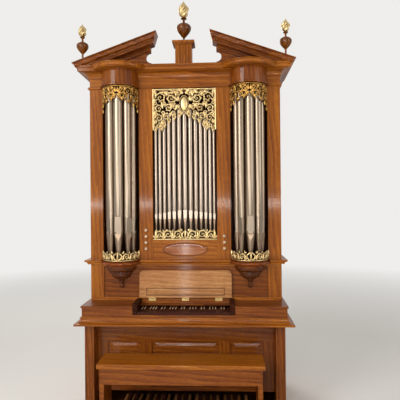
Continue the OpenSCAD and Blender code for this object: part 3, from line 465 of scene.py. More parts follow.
DRAWN = {"streak_scale": 8.0, "cloud_scale": 1.8, "dents": 0.0, "edge": 0.0}
LEAFED = {"streak_scale": 140.0, "dents": 0.0004, "edge": 0.0006}
TIN = Metal("tin", srgb(168, 154, 140), srgb(136, 122, 108), 0.33, (1.0, 1.0, 0.02), **DRAWN)
# Painted shade: the same tin as the flat's, made darker for the towers' pipes.
SHADED_TOWER_TIN = Metal("shaded_tower_tin", srgb(153, 138, 121), srgb(124, 109, 93), 0.33, (1.0, 1.0, 0.02), **DRAWN)
# Painted reflection: a darker, browner tin for the feet, standing in for the dark oak that they reflect.
PAINTED_REFLECTION_TIN = Metal("feet_tin_painted_reflection", srgb(150, 130, 110), srgb(112, 92, 74), 0.3, (1.0, 1.0, 0.05), **DRAWN)
GOLD = Metal("gold_leaf", srgb(214, 190, 140), srgb(182, 150, 96), 0.36, hollow=0.012,
             hollow_shade_colour=srgb(84, 54, 22), **LEAFED)
# Painted shade: the same gold leaf, made darker and more orange for the towers' top shades.
SHADED_GOLD = Metal("shaded_gold", srgb(190, 148, 82), srgb(146, 102, 44), 0.38, hollow=0.014,
                 hollow_shade_colour=srgb(62, 34, 10), **LEAFED)
BRASS = Metal("brass", srgb(216, 186, 126), srgb(176, 144, 88), 0.3, (1.0, 0.2, 1.0), 160.0)
EBONY = Polish("ebony", srgb(72, 34, 23), srgb(44, 21, 14), 0.5, 0.02, gloss=0.08)
BONE = Polish("bone", srgb(208, 178, 146), srgb(174, 144, 114), 0.34, 0.15, scale=60.0)


class Bench:
    """The workbench: operators that start, join, shape and finish pieces."""

    @staticmethod
    def clear() -> None:
        """Deselects everything."""
        if bpy.context.mode != "OBJECT":
            bpy.ops.object.mode_set(mode="OBJECT")
        bpy.ops.object.select_all(action="DESELECT")

    @staticmethod
    def take(*pieces: Piece) -> None:
        """Selects pieces alone.

        Args:
            pieces: The pieces, the first as the active one.
        """
        Bench.clear()
        for piece in pieces:
            piece.select_set(True)
        bpy.context.view_layer.objects.active = pieces[0]

    @staticmethod
    def join(name: str, pieces: Sequence[Piece]) -> Piece:
        """Joins pieces into one.

        Args:
            name: The joined piece's name.
            pieces: The pieces.

        Returns:
            The joined piece.
        """
        Bench.take(*pieces)
        if len(pieces) > 1:
            bpy.ops.object.join()
        piece = bpy.context.active_object
        piece.name = name
        return piece

    @staticmethod
    def weld(piece: Piece, gap: float = 1e-6) -> None:
        """Merges a mesh's doubles and turns its faces outwards.

        Args:
            piece: The piece.
            gap: How far apart doubles may lie, in metres.
        """
        Bench.take(piece)
        bpy.ops.object.mode_set(mode="EDIT")
        bpy.ops.mesh.select_all(action="SELECT")
        bpy.ops.mesh.remove_doubles(threshold=gap)
        bpy.ops.mesh.normals_make_consistent(inside=False)
        bpy.ops.object.mode_set(mode="OBJECT")

    @staticmethod
    def settle(piece: Piece, smooth: float = 40.0) -> None:
        """Puts a piece's place into its mesh and smooths what bends less than an angle.

        Args:
            piece: The finished piece.
            smooth: The angle in degrees.
        """
        Bench.take(piece)
        bpy.ops.object.transform_apply(location=True, rotation=True, scale=True)
        bpy.ops.object.shade_smooth_by_angle(angle=math.radians(smooth))
        Bench.clear()

    @staticmethod
    def modify(piece: Piece, kind: str, **settings: object) -> None:
        """Adds a modifier and applies it.

        Args:
            piece: The piece.
            kind: The modifier's type.
            settings: Its settings.
        """
        Bench.take(piece)
        bpy.ops.object.modifier_add(type=kind)
        modifier = piece.modifiers[-1]
        for key, value in settings.items():
            setattr(modifier, key, value)
        bpy.ops.object.modifier_apply(modifier=modifier.name)

    @staticmethod
    def block(low: Sequence[float], high: Sequence[float], round_off: float, steps: int = 2) -> Piece:
        """Adds a block between two corners, its edges rounded by a bevel.

        Args:
            low: The lowest corner.
            high: The highest corner.
            round_off: The radius of the edges.
            steps: The faces round each edge.

        Returns:
            The block.
        """
        Bench.clear()
        middle = [(a + b) / 2 for a, b in zip(low, high)]
        bpy.ops.mesh.primitive_cube_add(size=1.0, location=middle)
        piece = bpy.context.active_object
        piece.scale = [b - a for a, b in zip(low, high)]
        bpy.ops.object.transform_apply(location=True, rotation=True, scale=True)
        Bench.modify(piece, "BEVEL", width=round_off, segments=steps, limit_method="ANGLE")
        return piece

    @staticmethod
    def drawn(name: str, corners: int, levels: int) -> Piece:
        """Adds a closed disc and draws it up into a column of levels, each 1 above the last.

        Args:
            name: The column's name.
            corners: The corners of the disc.
            levels: How many levels it has.

        Returns:
            The column, for its points to be moved.
        """
        Bench.clear()
        bpy.ops.mesh.primitive_circle_add(vertices=corners, radius=1.0, fill_type="NGON")
        piece = bpy.context.active_object
        piece.name = name
        bpy.ops.object.mode_set(mode="EDIT")
        bpy.ops.mesh.select_all(action="SELECT")
        for _ in range(levels - 1):
            bpy.ops.mesh.extrude_region_move(TRANSFORM_OT_translate={"value": (0.0, 0.0, 1.0)})
        bpy.ops.object.mode_set(mode="OBJECT")
        return piece

    @staticmethod
    def shape(piece: Piece, move: Rule) -> None:
        """Moves each point of a mesh by a rule.

        Args:
            piece: The piece.
            move: Takes a point to its new place.
        """
        for vertex in piece.data.vertices:
            vertex.co = move(vertex.co.copy())
        piece.data.update()

    @staticmethod
    def dress(piece: Piece, finish: Finish) -> None:
        """Gives a piece a finish.

        Args:
            piece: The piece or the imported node.
            finish: Its finish.
        """
        piece.data.materials.clear()
        piece.data.materials.append(finish)
        LOG.info("%s wears %s", piece.name, finish.name)

    @staticmethod
    def mount(piece: Piece, body: str, slot: str, finish: Finish, stands_for: Sequence[str] = ()) -> None:
        """Gives a piece its finish and its body, and hides the nodes that it stands for.

        Args:
            piece: The settled piece.
            body: The body that it rides on.
            slot: The record's material slot; not used.
            finish: Its finish.
            stands_for: The nodes that it replaces.
        """
        Bench.dress(piece, finish)
        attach(piece, body)
        if stands_for:
            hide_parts(*stands_for)
        LOG.info("%s: %d faces on %s", piece.name, len(piece.data.polygons), body)


@dataclass
class Strand:
    """One carved strand: its spine in the flat pattern, with half its width at each point."""

    spine: list[Flat]
    widths: list[float]
    lift: float = 0.0

    def mirrored(self) -> "Strand":
        """Returns the strand on the other side of the middle."""
        return Strand([(-x, z) for x, z in self.spine], self.widths, self.lift)


@dataclass
class Carver:
    """Lays out scrolls and leaves in the flat, in millimetres and degrees, and cuts them as one mesh."""

    strands: list[Strand] = field(default_factory=list)
    lobe_steps: int = 7
    lobe_blunt: float = 0.12
    lobe_fullness: float = 0.75
    lobe_tip: float = 0.1
    leaf_width: float = 0.19
    leaf_lift: float = 1.2
    side_lobes: tuple[Flat, Flat] = ((40, 0.66), (-36, 0.6))
    side_width: float = 0.15
    side_curl: float = 18
    scroll_steps: int = 30
    sweep: float = 500.0
    winding: float = 0.85
    thinning: float = 0.55
    scroll_lift: float = 0.8
    first_leaf: float = 18
    leaf_pitch: float = 62
    smooth: float = 55.0
    eye_steps: int = 8
    eye_share: float = 0.17
    eye_lift: float = 1.4
    almond_lift: float = 1.6
    back_turn: float = 48
    back_share: float = 0.58
    back_curl: float = 50
    inner_shift: float = 20
    inner_reach: float = 0.93
    inner_turn: float = 150
    inner_share: float = 0.36
    inner_width: float = 0.1
    inner_curl: float = 40
    inner_lift: float = 0.2
    ridge: tuple[Flat, ...] = (
        (-1, -0.85), (1, -0.85), (1, 0.0), (0.62, 0.5), (0, 0.78), (-0.62, 0.5), (-1, 0.0),
    )

    def bar(self, points: Sequence[Flat], width: float, lift: float = 0.0) -> None:
        """Adds a strand of even width through points."""
        self.strands.append(Strand(list(points), [width] * len(points), lift))

    def lobe(self, base: Flat, heading: float, length: float, width: float, curl: float = 0.0,
             lift: float = 0.6) -> None:
        """Adds one lobe of a leaf.

        Args:
            base: Where it starts.
            heading: Its direction at the base.
            length: Its length.
            width: Half its greatest width.
            curl: How far it turns over its length.
            lift: How far it stands proud.
        """
        x, z = base
        spine, widths = [], []
        for i in range(self.lobe_steps + 1):
            share = i / self.lobe_steps
            spine.append((x, z))
            swell = math.sin(math.pi * min(1.0, self.lobe_blunt + (1 - self.lobe_blunt) * share))
            widths.append(max(width * swell ** self.lobe_fullness, width * self.lobe_tip))
            angle = math.radians(heading + curl * share)
            x += math.cos(angle) * length / self.lobe_steps
            z += math.sin(angle) * length / self.lobe_steps
        self.strands.append(Strand(spine, widths, lift))

    def leaf(self, base: Flat, heading: float, length: float, curl: float = 0.0) -> None:
        """Adds a leaf of one long lobe between two short ones.

        Args:
            base: Where it starts.
            heading: Its direction at the base.
            length: Its length.
            curl: How far it turns over its length.
        """
        hand = 1 if curl >= 0 else -1
        self.lobe(base, heading, length, length * self.leaf_width, curl, self.leaf_lift)
        for turn, share in self.side_lobes:
            self.lobe(base, heading + turn, length * share, length * self.side_width,
                      curl + self.side_curl * hand)

    @staticmethod
    def around(centre: Flat, reach: float, angle: float) -> Flat:
        """Returns the point at a distance and an angle from a centre."""
        turn = math.radians(angle)
        return (centre[0] + reach * math.cos(turn), centre[1] + reach * math.sin(turn))

    def reach(self, radius: float, share: float) -> float:
        """Returns a scroll's distance from its middle at a share of its length."""
        return radius * (self.eye_share + (1 - self.eye_share) * (1 - share) ** self.winding)

    def volute(self, centre: Flat, radius: float, turn: float, width: float, hand: int = 1,
               leaves: int = 5) -> None:
        """Adds a scroll that winds in to a round eye, with leaves on its back.

        Args:
            centre: The middle of the scroll.
            radius: Its outer radius.
            turn: The angle of its outer end.
            width: Half the width of its band at the outer end.
            hand: 1 where it winds in anticlockwise, -1 where clockwise.
            leaves: How many leaves grow on its back.
        """
        spine, widths = [], []
        for i in range(self.scroll_steps + 1):
            share = i / self.scroll_steps
            spine.append(self.around(centre, self.reach(radius, share), turn + hand * self.sweep * share))
            widths.append(width * (1 - self.thinning * share))
        self.strands.append(Strand(spine, widths, self.scroll_lift))
        self.strands.append(self.eye(centre, radius * self.eye_share))
        for k in range(leaves):
            along = self.first_leaf + k * self.leaf_pitch
            angle = turn + hand * along
            reach = self.reach(radius, along / self.sweep)
            self.leaf(self.around(centre, reach, angle), angle + hand * self.back_turn,
                      radius * self.back_share, hand * self.back_curl)
            inner = self.around(centre, reach * self.inner_reach, angle + hand * self.inner_shift)
            self.lobe(inner, angle + hand * self.inner_turn, radius * self.inner_share,
                      radius * self.inner_width, hand * self.inner_curl, self.inner_lift)

    def volutes(self, rows: Sequence[Scroll], width: float, leaves: int = 5) -> None:
        """Adds scrolls of one width from rows of place, radius, turn and hand."""
        for x, z, radius, turn, hand in rows:
            self.volute((x, z), radius, turn, width, hand, leaves)

    def foliage(self, rows: Sequence[Leaf]) -> None:
        """Adds leaves from rows of place, heading, length and curl."""
        for x, z, heading, length, curl in rows:
            self.leaf((x, z), heading, length, curl)

    def almond(self, height: float, width: float, stem_width: float, stem: Sequence[Flat]) -> None:
        """Adds the pointed leaf at the middle of a shade and the stem beside it."""
        self.lobe((0, 12), 90, height, width, 0, self.almond_lift)
        self.bar(stem, stem_width, self.scroll_lift)

    def eye(self, centre: Flat, radius: float) -> Strand:
        """Rounds off the end of a scroll.

        Args:
            centre: The middle of the scroll.
            radius: The eye's radius.

        Returns:
            A round boss, as a short fat strand.
        """
        shares = [2 * i / self.eye_steps - 1 for i in range(self.eye_steps + 1)]
        spine = [(centre[0] + radius * share, centre[1]) for share in shares]
        widths = [max(radius * math.sin(math.acos(max(-1, min(1, share)))), 0.4) for share in shares]
        return Strand(spine, widths, self.eye_lift)

    def both(self) -> None:
        """Adds the mirror image of every strand."""
        self.strands += [strand.mirrored() for strand in self.strands]

    def cut(self, name: str, place: Rule) -> Piece:
        """Cuts the strands as one mesh and puts it in its place.

        Args:
            name: The piece's name.
            place: Takes a point of the flat pattern (across, up, proud) in metres to its place.

        Returns:
            The carved piece.
        """
        section = self.section(name + "_section")
        Bench.clear()
        bpy.ops.curve.primitive_nurbs_path_add()
        carved = bpy.context.active_object
        curve = carved.data
        curve.splines.clear()
        for strand in self.strands:
            spline = curve.splines.new("POLY")
            spline.points.add(len(strand.spine) - 1)
            for point, (x, z), width in zip(spline.points, strand.spine, strand.widths):
                point.co = (x * MM, z * MM, strand.lift * MM, 1.0)
                point.radius = width * MM
        curve.dimensions = "3D"
        curve.twist_mode = "Z_UP"
        curve.bevel_mode = "OBJECT"
        curve.bevel_object = section
        curve.use_fill_caps = True
        Bench.take(carved)
        bpy.ops.object.convert(target="MESH")
        carved = bpy.context.active_object
        bpy.data.objects.remove(section)
        Bench.weld(carved, 1e-7)
        Bench.shape(carved, place)
        carved.name = name
        Bench.settle(carved, self.smooth)
        return carved

    def section(self, name: str) -> Piece:
        """Draws a strand's cross-section, a carved ridge on a board with square sides.

        Args:
            name: The section's name.

        Returns:
            The section, for a strand of half width 1.
        """
        Bench.clear()
        bpy.ops.curve.primitive_bezier_circle_add()
        section = bpy.context.active_object
        section.name = name
        section.data.splines.clear()
        spline = section.data.splines.new("POLY")
        spline.points.add(len(self.ridge) - 1)
        spline.use_cyclic_u = True
        for point, (x, y) in zip(spline.points, self.ridge):
            point.co = (x, y, 0.0, 1.0)
        return section


@dataclass
class Gilding:
    """The carved and gilded shades of the flat and the towers.

    Each pattern is one half of a shade, in millimetres from its middle and from its straight edge.
    """

    scrolls: tuple[Scroll, ...] = (
        (204, -80, 44, 0, 1), (112, -86, 38, 200, 1), (138, -170, 34, 20, 1), (222, -176, 34, 170, -1),
        (220, -256, 32, 0, 1), (158, -244, 28, 140, -1), (72, -160, 26, 90, -1), (48, -42, 24, 20, 1),
        (222, -322, 24, 90, 1), (252, -126, 17, 60, -1), (156, -42, 20, 250, -1), (252, -36, 18, 120, -1),
        (94, -34, 18, 300, 1), (178, -128, 19, 40, -1), (92, -212, 20, 200, 1), (184, -212, 18, 300, -1),
        (254, -214, 15, 80, 1), (254, -290, 16, 100, 1), (184, -296, 19, 180, -1), (30, -196, 16, 240, 1),
    )
    hem: tuple[Flat, ...] = ((256, -348), (204, -336), (178, -312), (136, -274), (90, -246), (44, -224))
    leaves: tuple[Leaf, ...] = (
        (22, -28, 40, 58, 60), (60, -22, -60, 60, -50), (92, -24, -40, 54, 50), (150, -24, -75, 50, -40),
        (172, -26, -30, 46, 60), (262, -22, 220, 44, 60), (266, -100, 190, 44, -60),
        (266, -214, 170, 46, 60), (268, -296, 150, 42, -50), (40, -100, 12, 70, 50),
        (40, -150, -25, 62, -60), (30, -196, -60, 40, 60), (94, -132, -70, 60, 60),
        (180, -128, -60, 52, -60), (184, -216, -120, 46, 60), (106, -214, -40, 48, -60),
        (12, -204, -75, 34, 40), (16, -52, 80, 44, -40), (120, -150, 170, 44, 50),
        (196, -290, 240, 40, -40),
    )
    bars: tuple[Bar, ...] = (
        (((0, -8), (271, -8)), 8, 0.0), (((270, -4), (270, -362)), 8, 0.0),
        (((0, -19), (259, -19), (259, -340)), 2.6, 1.0),
    )
    low_scrolls: tuple[Scroll, ...] = ((66, 46, 37, 200, -1), (148, 50, 38, 340, 1), (228, 46, 36, 200, -1))
    low_leaves: tuple[Leaf, ...] = (
        (104, 12, 74, 62, 30), (190, 12, 106, 62, -30), (254, 12, 90, 74, -4), (24, 82, 24, 40, -50),
        (108, 74, 96, 22, 30), (188, 72, 84, 24, -30), (250, 76, 110, 20, -20), (36, 12, 50, 36, 50),
    )
    low_almond: Place = (80, 9, 5.4)
    low_stem: tuple[Flat, ...] = ((6, 12), (20, 24), (27, 40), (23, 58), (8, 76))
    low_bar: Bar = (((0, 7), (276, 7)), 7, 0.0)
    tower_scrolls: tuple[Scroll, ...] = (
        (48, -42, 28, 20, 1), (104, -48, 34, 180, -1), (168, -46, 32, 0, 1), (222, -50, 28, 170, -1),
        (70, -96, 22, 60, -1), (132, -108, 26, 200, 1), (188, -116, 26, 20, -1), (224, -160, 20, 90, 1),
    )
    tower_leaves: tuple[Leaf, ...] = (
        (10, -60, 80, 50, 30), (12, -70, -70, 44, 30), (18, -60, -30, 54, 60), (30, -14, -60, 40, 50),
        (74, -12, -80, 40, -40), (136, -12, -70, 44, 50), (196, -12, -90, 44, -50), (236, -20, 240, 40, 50),
        (40, -100, -60, 36, -50), (94, -118, -70, 40, 50), (150, -140, -60, 40, -50),
        (206, -150, -50, 44, 50), (236, -176, 262, 38, 10), (60, -74, 10, 44, 50), (120, -82, -20, 44, -50),
        (180, -84, -10, 40, 50), (226, -90, -90, 44, 30), (212, -128, 200, 36, -50),
    )
    tower_curl: tuple[Flat, float, float, float, int, int] = ((22, -96), 16, 90, 4.4, -1, 2)
    band_scrolls: tuple[Scroll, ...] = ((76, 40, 26, 200, -1), (132, 42, 27, 340, 1), (188, 42, 26, 200, -1))
    band_leaves: tuple[Leaf, ...] = (
        (44, 14, 70, 40, 50), (104, 14, 62, 40, 40), (160, 14, 118, 40, -40), (212, 14, 70, 56, -10),
        (226, 20, 84, 64, 6), (236, 40, 88, 44, 4), (46, 66, 60, 26, 40), (104, 66, 100, 22, 30),
        (160, 66, 60, 22, -30),
    )
    band_almond: Place = (68, 8, 6.4)
    band_stem: tuple[Flat, ...] = ((5, 12), (24, 20), (36, 36), (30, 56), (8, 72))
    scroll_width: float = 6.4
    tower_width: float = 4.8
    hem_radius: float = 19
    hem_turn: Flat = (200, 20)
    hem_leaf: Leaf = (-4, -8, 235, 30, 30)
    hem_leaf_step: float = 6
    hem_width: float = 5.0
    edge_width: float = 6
    flat_proud: float = 4.0
    top_sink: float = 5.0
    band_sink: float = 4.0
    boss_size: Place = (62.0, 12.0, 122.0)
    boss_drop: float = 137.0
    boss_proud: float = 7.0
    beads: int = 30
    bead_radius: float = 5.2
    bead_proud: float = 2.0
    rope: Flat = (0.62, 0.57)

    def boss(self, place: Vector) -> Piece:
        """Models the oval boss in its rope rim.

        Args:
            place: Its centre on the shade's face.

        Returns:
            The boss with its rim.
        """
        width, proud, height = (size * MM for size in self.boss_size)
        Bench.clear()
        bpy.ops.mesh.primitive_uv_sphere_add(segments=40, ring_count=20, radius=0.5, location=place)
        dome = bpy.context.active_object
        dome.scale = (width, proud * 2, height)
        bpy.ops.object.transform_apply(location=True, rotation=True, scale=True)
        pieces = [dome]
        for k in range(self.beads):
            angle = math.tau * k / self.beads
            across, up = math.cos(angle) * width * self.rope[0], math.sin(angle) * height * self.rope[1]
            spot = place + Vector((across, -self.bead_proud * MM, up))
            Bench.clear()
            radius = self.bead_radius * MM
            bpy.ops.mesh.primitive_uv_sphere_add(segments=10, ring_count=6, radius=radius, location=spot)
            pieces.append(bpy.context.active_object)
        return Bench.join("boss", pieces)

    def upright(self, face: float, level: float) -> Rule:
        """Stands a flat pattern on the flat's front.

        Args:
            face: The depth of the front in metres.
            level: The height of the pattern's straight edge in metres.

        Returns:
            The rule for its points.
        """
        return lambda p: Vector((p.x, face - self.flat_proud * MM - p.z, level + p.y))

    def top(self) -> Piece:
        """Models the centre top shade.

        Returns:
            The shade with its boss.
        """
        _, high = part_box("centre_top_shade")
        carver = Carver()
        carver.volutes(self.scrolls, self.scroll_width)
        first, step = self.hem_turn
        aside, below, heading, length, curl = self.hem_leaf
        for k, (x, z) in enumerate(self.hem):
            carver.volute((x, z), self.hem_radius, first + step * k, self.hem_width, -1, 3)
            carver.leaf((x + aside, z + below), heading + self.hem_leaf_step * k, length, curl)
        carver.foliage(self.leaves)
        for points, width, lift in self.bars:
            carver.bar(points, width, lift)
        carver.both()
        face = carver.cut("carved_top_shade", self.upright(high.y, high.z))
        boss = self.boss(Vector((0, high.y - self.boss_proud * MM, high.z - self.boss_drop * MM)))
        return Bench.join("carved_top_shade", [face, boss])

    def bottom(self) -> Piece:
        """Models the centre bottom shade.

        Returns:
            The shade.
        """
        low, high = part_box("centre_bottom_shade")
        carver = Carver()
        carver.volutes(self.low_scrolls, self.scroll_width, 4)
        carver.foliage(self.low_leaves)
        carver.almond(*self.low_almond, self.low_stem)
        carver.bar(*self.low_bar)
        carver.both()
        return carver.cut("carved_bottom_shade", self.upright(high.y, low.z))

    @staticmethod
    def round_tower(centre: float, front: float, radius: float, level: float) -> Rule:
        """Bends a flat pattern round a tower.

        Args:
            centre: The tower's middle, across.
            front: The depth of the tower's middle.
            radius: The radius of the pattern's back.
            level: The height of the pattern's straight edge.

        Returns:
            The rule for its points.
        """
        def bend(point: Vector) -> Vector:
            """Moves one point of the pattern.

            Args:
                point: The point of the flat pattern.

            Returns:
                Its place in metres.
            """
            angle = point.x / radius
            reach = radius + point.z
            across, ahead = reach * math.sin(angle), reach * math.cos(angle)
            return Vector((centre + across, front - ahead, level + point.y))
        return bend

    def tower_top(self, side: int) -> Piece:
        """Models the shade at the top of one tower.

        Args:
            side: 1 on the right, -1 on the left.

        Returns:
            The shade.
        """
        low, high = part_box("tower_top_shades")
        radius = high.y - low.y
        half = radius / MM * math.pi / 2
        inset = self.edge_width
        carver = Carver()
        carver.volutes(self.tower_scrolls, self.tower_width)
        carver.foliage(self.tower_leaves)
        carver.volute(*self.tower_curl)
        carver.bar([(40 * k, -inset) for k in range(6)] + [(half, -inset)], self.edge_width)
        carver.bar([(half - inset, -inset - 20 * k) for k in range(11)], self.edge_width)
        carver.both()
        centre = side * (high.x - radius)
        bend = self.round_tower(centre, high.y, radius - self.top_sink * MM, high.z)
        return carver.cut("tower_shade_" + ("left" if side < 0 else "right"), bend)

    def tower_band(self, side: int) -> Piece:
        """Models the band at the foot of one tower's pipes.

        Args:
            side: 1 on the right, -1 on the left.

        Returns:
            The band.
        """
        low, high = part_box("tower_bottom_shades")
        radius = high.y - low.y
        half = radius / MM * math.pi / 2
        carver = Carver()
        carver.volutes(self.band_scrolls, self.scroll_width)
        carver.foliage(self.band_leaves)
        carver.almond(*self.band_almond, self.band_stem)
        carver.bar([(half * k / 10, self.edge_width) for k in range(11)], self.edge_width)
        carver.both()
        centre = side * (high.x - radius)
        bend = self.round_tower(centre, high.y, radius - self.band_sink * MM, low.z)
        return carver.cut("tower_band_" + ("left" if side < 0 else "right"), bend)

    def build(self, gold: Finish, shaded_leaf: Finish) -> None:
        """Carves every shade and gilds it.

        Args:
            gold: The gold leaf.
            shaded_leaf: The gold leaf of the towers' top shades, painted darker as shade.
        """
        Bench.mount(self.top(), "root", "gold_leaf", gold, ["centre_top_shade"])
        Bench.mount(self.bottom(), "root", "gold_leaf", gold, ["centre_bottom_shade"])
        for side in (-1, 1):
            Bench.mount(self.tower_top(side), "root", "gold_leaf", shaded_leaf, ["tower_top_shades"])
            Bench.mount(self.tower_band(side), "root", "gold_leaf", gold, ["tower_bottom_shades"])


@dataclass(frozen=True)
class Ring:
    """One level of a pipe's wall: its height, its radius and how its front is pressed in."""

    height: float
    radius: float
    press: float = 0.0
    notch: float = 0.0


@dataclass
class Pipes:
    """The flue pipes: bodies with pressed upper lips over mouths, and feet with lower lips.

    Sizes are in millimetres and degrees, and shares of a pipe's diameter where the name ends in share. The
    lean is how much further an upper lip is pressed in at its top than at the mouth.
    """

    corners: int = 40
    front: int = 10
    round_half: float = 0.72
    press: float = 0.3
    notch: float = 0.34
    cheek: float = 0.97
    cut_share: float = 0.2
    lip_share: float = 1.7
    low_lip_share: float = 0.7
    lip_steps: int = 6
    wall_steps: int = 4
    slit: float = 1.5
    lip_edge: float = 0.4
    brow: float = 3.0
    brow_press: float = 0.02
    shoulder: float = 8.0
    thickness: float = 1.4
    bore: float = 30.0
    toe: float = 0.32
    toe_hole: float = 0.8
    toe_height: float = 2.5
    ledge: float = 1.0
    smooth: float = 22.0
    tower_lean: float = -0.14
    tower_diameter: float = 76.0
    tower_step: float = 7.0
    tower_circle: float = 103.0
    tower_spread: float = 44.0
    tower_side: int = 2
    tower_foot: float = 232.0
    flat_lean: float = 0.18
    flat_diameter: float = 41.0
    flat_step: float = 2.6
    flat_last: int = 6
    flat_foot: float = 161.0
    flat_drop: float = 0.8
    flat_fall: float = 148.0

    def wall(self, name: str, rings: Sequence[Ring]) -> Piece:
        """Models one wall of a pipe by drawing a disc up through rings.

        Args:
            name: The piece's name.
            rings: Its levels from the lowest up.

        Returns:
            The closed wall round the origin.
        """
        piece = Bench.drawn(name, self.corners, len(rings))
        Bench.shape(piece, lambda point: self.press_in(point, rings[round(point.z)]))
        Bench.weld(piece)
        return piece

    def press_in(self, point: Vector, ring: Ring) -> Vector:
        """Presses the front of a ring flat or cuts it back.

        Args:
            point: The point on the unit circle.
            ring: The level that it belongs to.

        Returns:
            The point in metres.
        """
        step = round(math.atan2(point.x, -point.y) / math.tau * self.corners + self.front / 2) % self.corners
        r = ring.radius
        half = math.acos(1 - ring.press) if ring.press else self.round_half
        share = step / self.front * 2 - 1
        if step > self.front:
            rest = self.corners - self.front
            angle = half + (math.tau - 2 * half) * (step - self.front) / rest
            x, y = r * math.sin(angle), -r * math.cos(angle)
        elif ring.press:
            back = ring.notch if abs(share) < 0.99 else 0.0
            x = share * r * math.sin(half) * (self.cheek if back else 1.0)
            y = -r * math.cos(half) + r * back
        else:
            x, y = r * math.sin(share * half), -r * math.cos(share * half)
        return Vector((x * MM, y * MM, ring.height * MM))

    def body(self, diameter: float, foot: float, top: float, lean: float) -> list[Ring]:
        """Lists the rings of a pipe's body from its mouth to its open top.

        Args:
            diameter: The pipe's diameter.
            foot: The height of its mouth.
            top: The height of its top.
            lean: How its upper lip leans.

        Returns:
            The rings from the lowest up.
        """
        r, lip, bore = diameter / 2, diameter * self.lip_share, diameter / 2 - self.thickness
        mouth = foot + diameter * self.cut_share
        shoulder = mouth + lip + self.shoulder
        rings = [Ring(foot + self.slit, r, self.press, self.notch), Ring(mouth, r, self.press, self.notch)]
        for k in range(self.lip_steps + 1):
            press = self.press - lean / 2 + lean * k / self.lip_steps
            rings.append(Ring(mouth + self.lip_edge + lip * k / self.lip_steps, r, press))
        rings.append(Ring(mouth + lip + self.brow, r, self.brow_press))
        for k in range(self.wall_steps + 1):
            rings.append(Ring(shoulder + (top - shoulder) * k / self.wall_steps, r))
        return rings + [Ring(top, bore), Ring(top - self.bore, bore)]

    def foot(self, diameter: float, foot: float) -> list[Ring]:
        """Lists the rings of a pipe's foot from its toe to its mouth.

        Args:
            diameter: The pipe's diameter.
            foot: The height of its mouth.

        Returns:
            The rings from the lowest up.
        """
        r, lip = diameter / 2, diameter * self.low_lip_share
        toe, low = r * self.toe, foot - lip
        rings = [Ring(0.0, toe * self.toe_hole), Ring(self.toe_height, toe)]
        for k in range(1, self.wall_steps + 1):
            share = k / self.wall_steps
            height = self.toe_height + (low - self.toe_height) * share
            rings.append(Ring(height, toe + (r - toe) * low / foot * share))
        for k in range(1, self.lip_steps + 1):
            height = low + lip * k / self.lip_steps
            radius = toe + (r - toe) * height / foot
            rings.append(Ring(height, radius, self.press * k / self.lip_steps))
        return rings + [Ring(foot, r, self.press), Ring(foot + self.slit, r - self.ledge, self.press)]

    def stand(self, name: str, rings: Sequence[Ring], place: Vector, turn: float) -> Piece:
        """Models a wall, turns it about its pipe's axis and stands it in its place.

        Args:
            name: The piece's name.
            rings: The wall's levels.
            place: The middle of the pipe's toe.
            turn: The way the mouth looks.

        Returns:
            The wall in its place.
        """
        piece = self.wall(name, rings)
        spin = Matrix.Rotation(math.radians(turn), 3, "Z")
        Bench.shape(piece, lambda point: place + spin @ point)
        return piece

    def row(self, name: str, pipes: Sequence[Pipe], lean: float, tin: Finish, reflected_feet_tin: Finish) -> None:
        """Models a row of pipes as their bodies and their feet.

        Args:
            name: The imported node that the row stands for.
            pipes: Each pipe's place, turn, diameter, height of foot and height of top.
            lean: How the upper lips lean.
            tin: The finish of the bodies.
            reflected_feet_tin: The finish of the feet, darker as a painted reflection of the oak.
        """
        bodies, feet = [], []
        for place, turn, diameter, foot, top in pipes:
            bodies.append(self.stand("body", self.body(diameter, foot, top, lean), place, turn))
            feet.append(self.stand("foot", self.foot(diameter, foot), place, turn))
        for kind, walls, metal in (("bodies", bodies, tin), ("feet", feet, reflected_feet_tin)):
            piece = Bench.join(f"{name}_{kind}", walls)
            Bench.settle(piece, self.smooth)
            Bench.mount(piece, "root", "pipe_metal", metal, [name])

    def tower(self, low: Vector, high: Vector) -> list[Pipe]:
        """Lays out a tower's pipes on their circle.

        Args:
            low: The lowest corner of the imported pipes.
            high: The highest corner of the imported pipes.

        Returns:
            The pipes from left to right.
        """
        back = (self.tower_circle + self.tower_diameter / 2) * MM
        centre = Vector(((low.x + high.x) / 2, low.y + back, low.z))
        pipes = []
        for i in range(-self.tower_side, self.tower_side + 1):
            turn = self.tower_spread * i
            angle = math.radians(turn)
            out = Vector((math.sin(angle), -math.cos(angle), 0)) * self.tower_circle * MM
            diameter = self.tower_diameter - self.tower_step * abs(i)
            pipes.append((centre + out, turn, diameter, self.tower_foot, (high.z - low.z) / MM))
        return pipes

    def flat(self, low: Vector, high: Vector) -> list[Pipe]:
        """Lays out the flat's pipes in their row, the tallest in the middle.

        Args:
            low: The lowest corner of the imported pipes.
            high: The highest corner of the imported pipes.

        Returns:
            The pipes from left to right.
        """
        last = self.flat_last
        sizes = [self.flat_diameter - self.flat_step * k for k in range(last + 1)]
        runs = [sum((sizes[j] + sizes[j - 1]) / 2 for j in range(1, k + 1)) for k in range(last + 1)]
        gap = (high.x / MM - sizes[-1] / 2 - runs[-1]) / last
        pipes = []
        for i in range(-last, last + 1):
            k = abs(i)
            x = math.copysign(runs[k] + k * gap, i) if i else 0.0
            place = Vector((x * MM, low.y + self.flat_diameter / 2 * MM, low.z))
            top = (high.z - low.z) / MM - self.flat_fall * (k / last) ** 2
            pipes.append((place, 0.0, sizes[k], self.flat_foot - self.flat_drop * k, top))
        return pipes

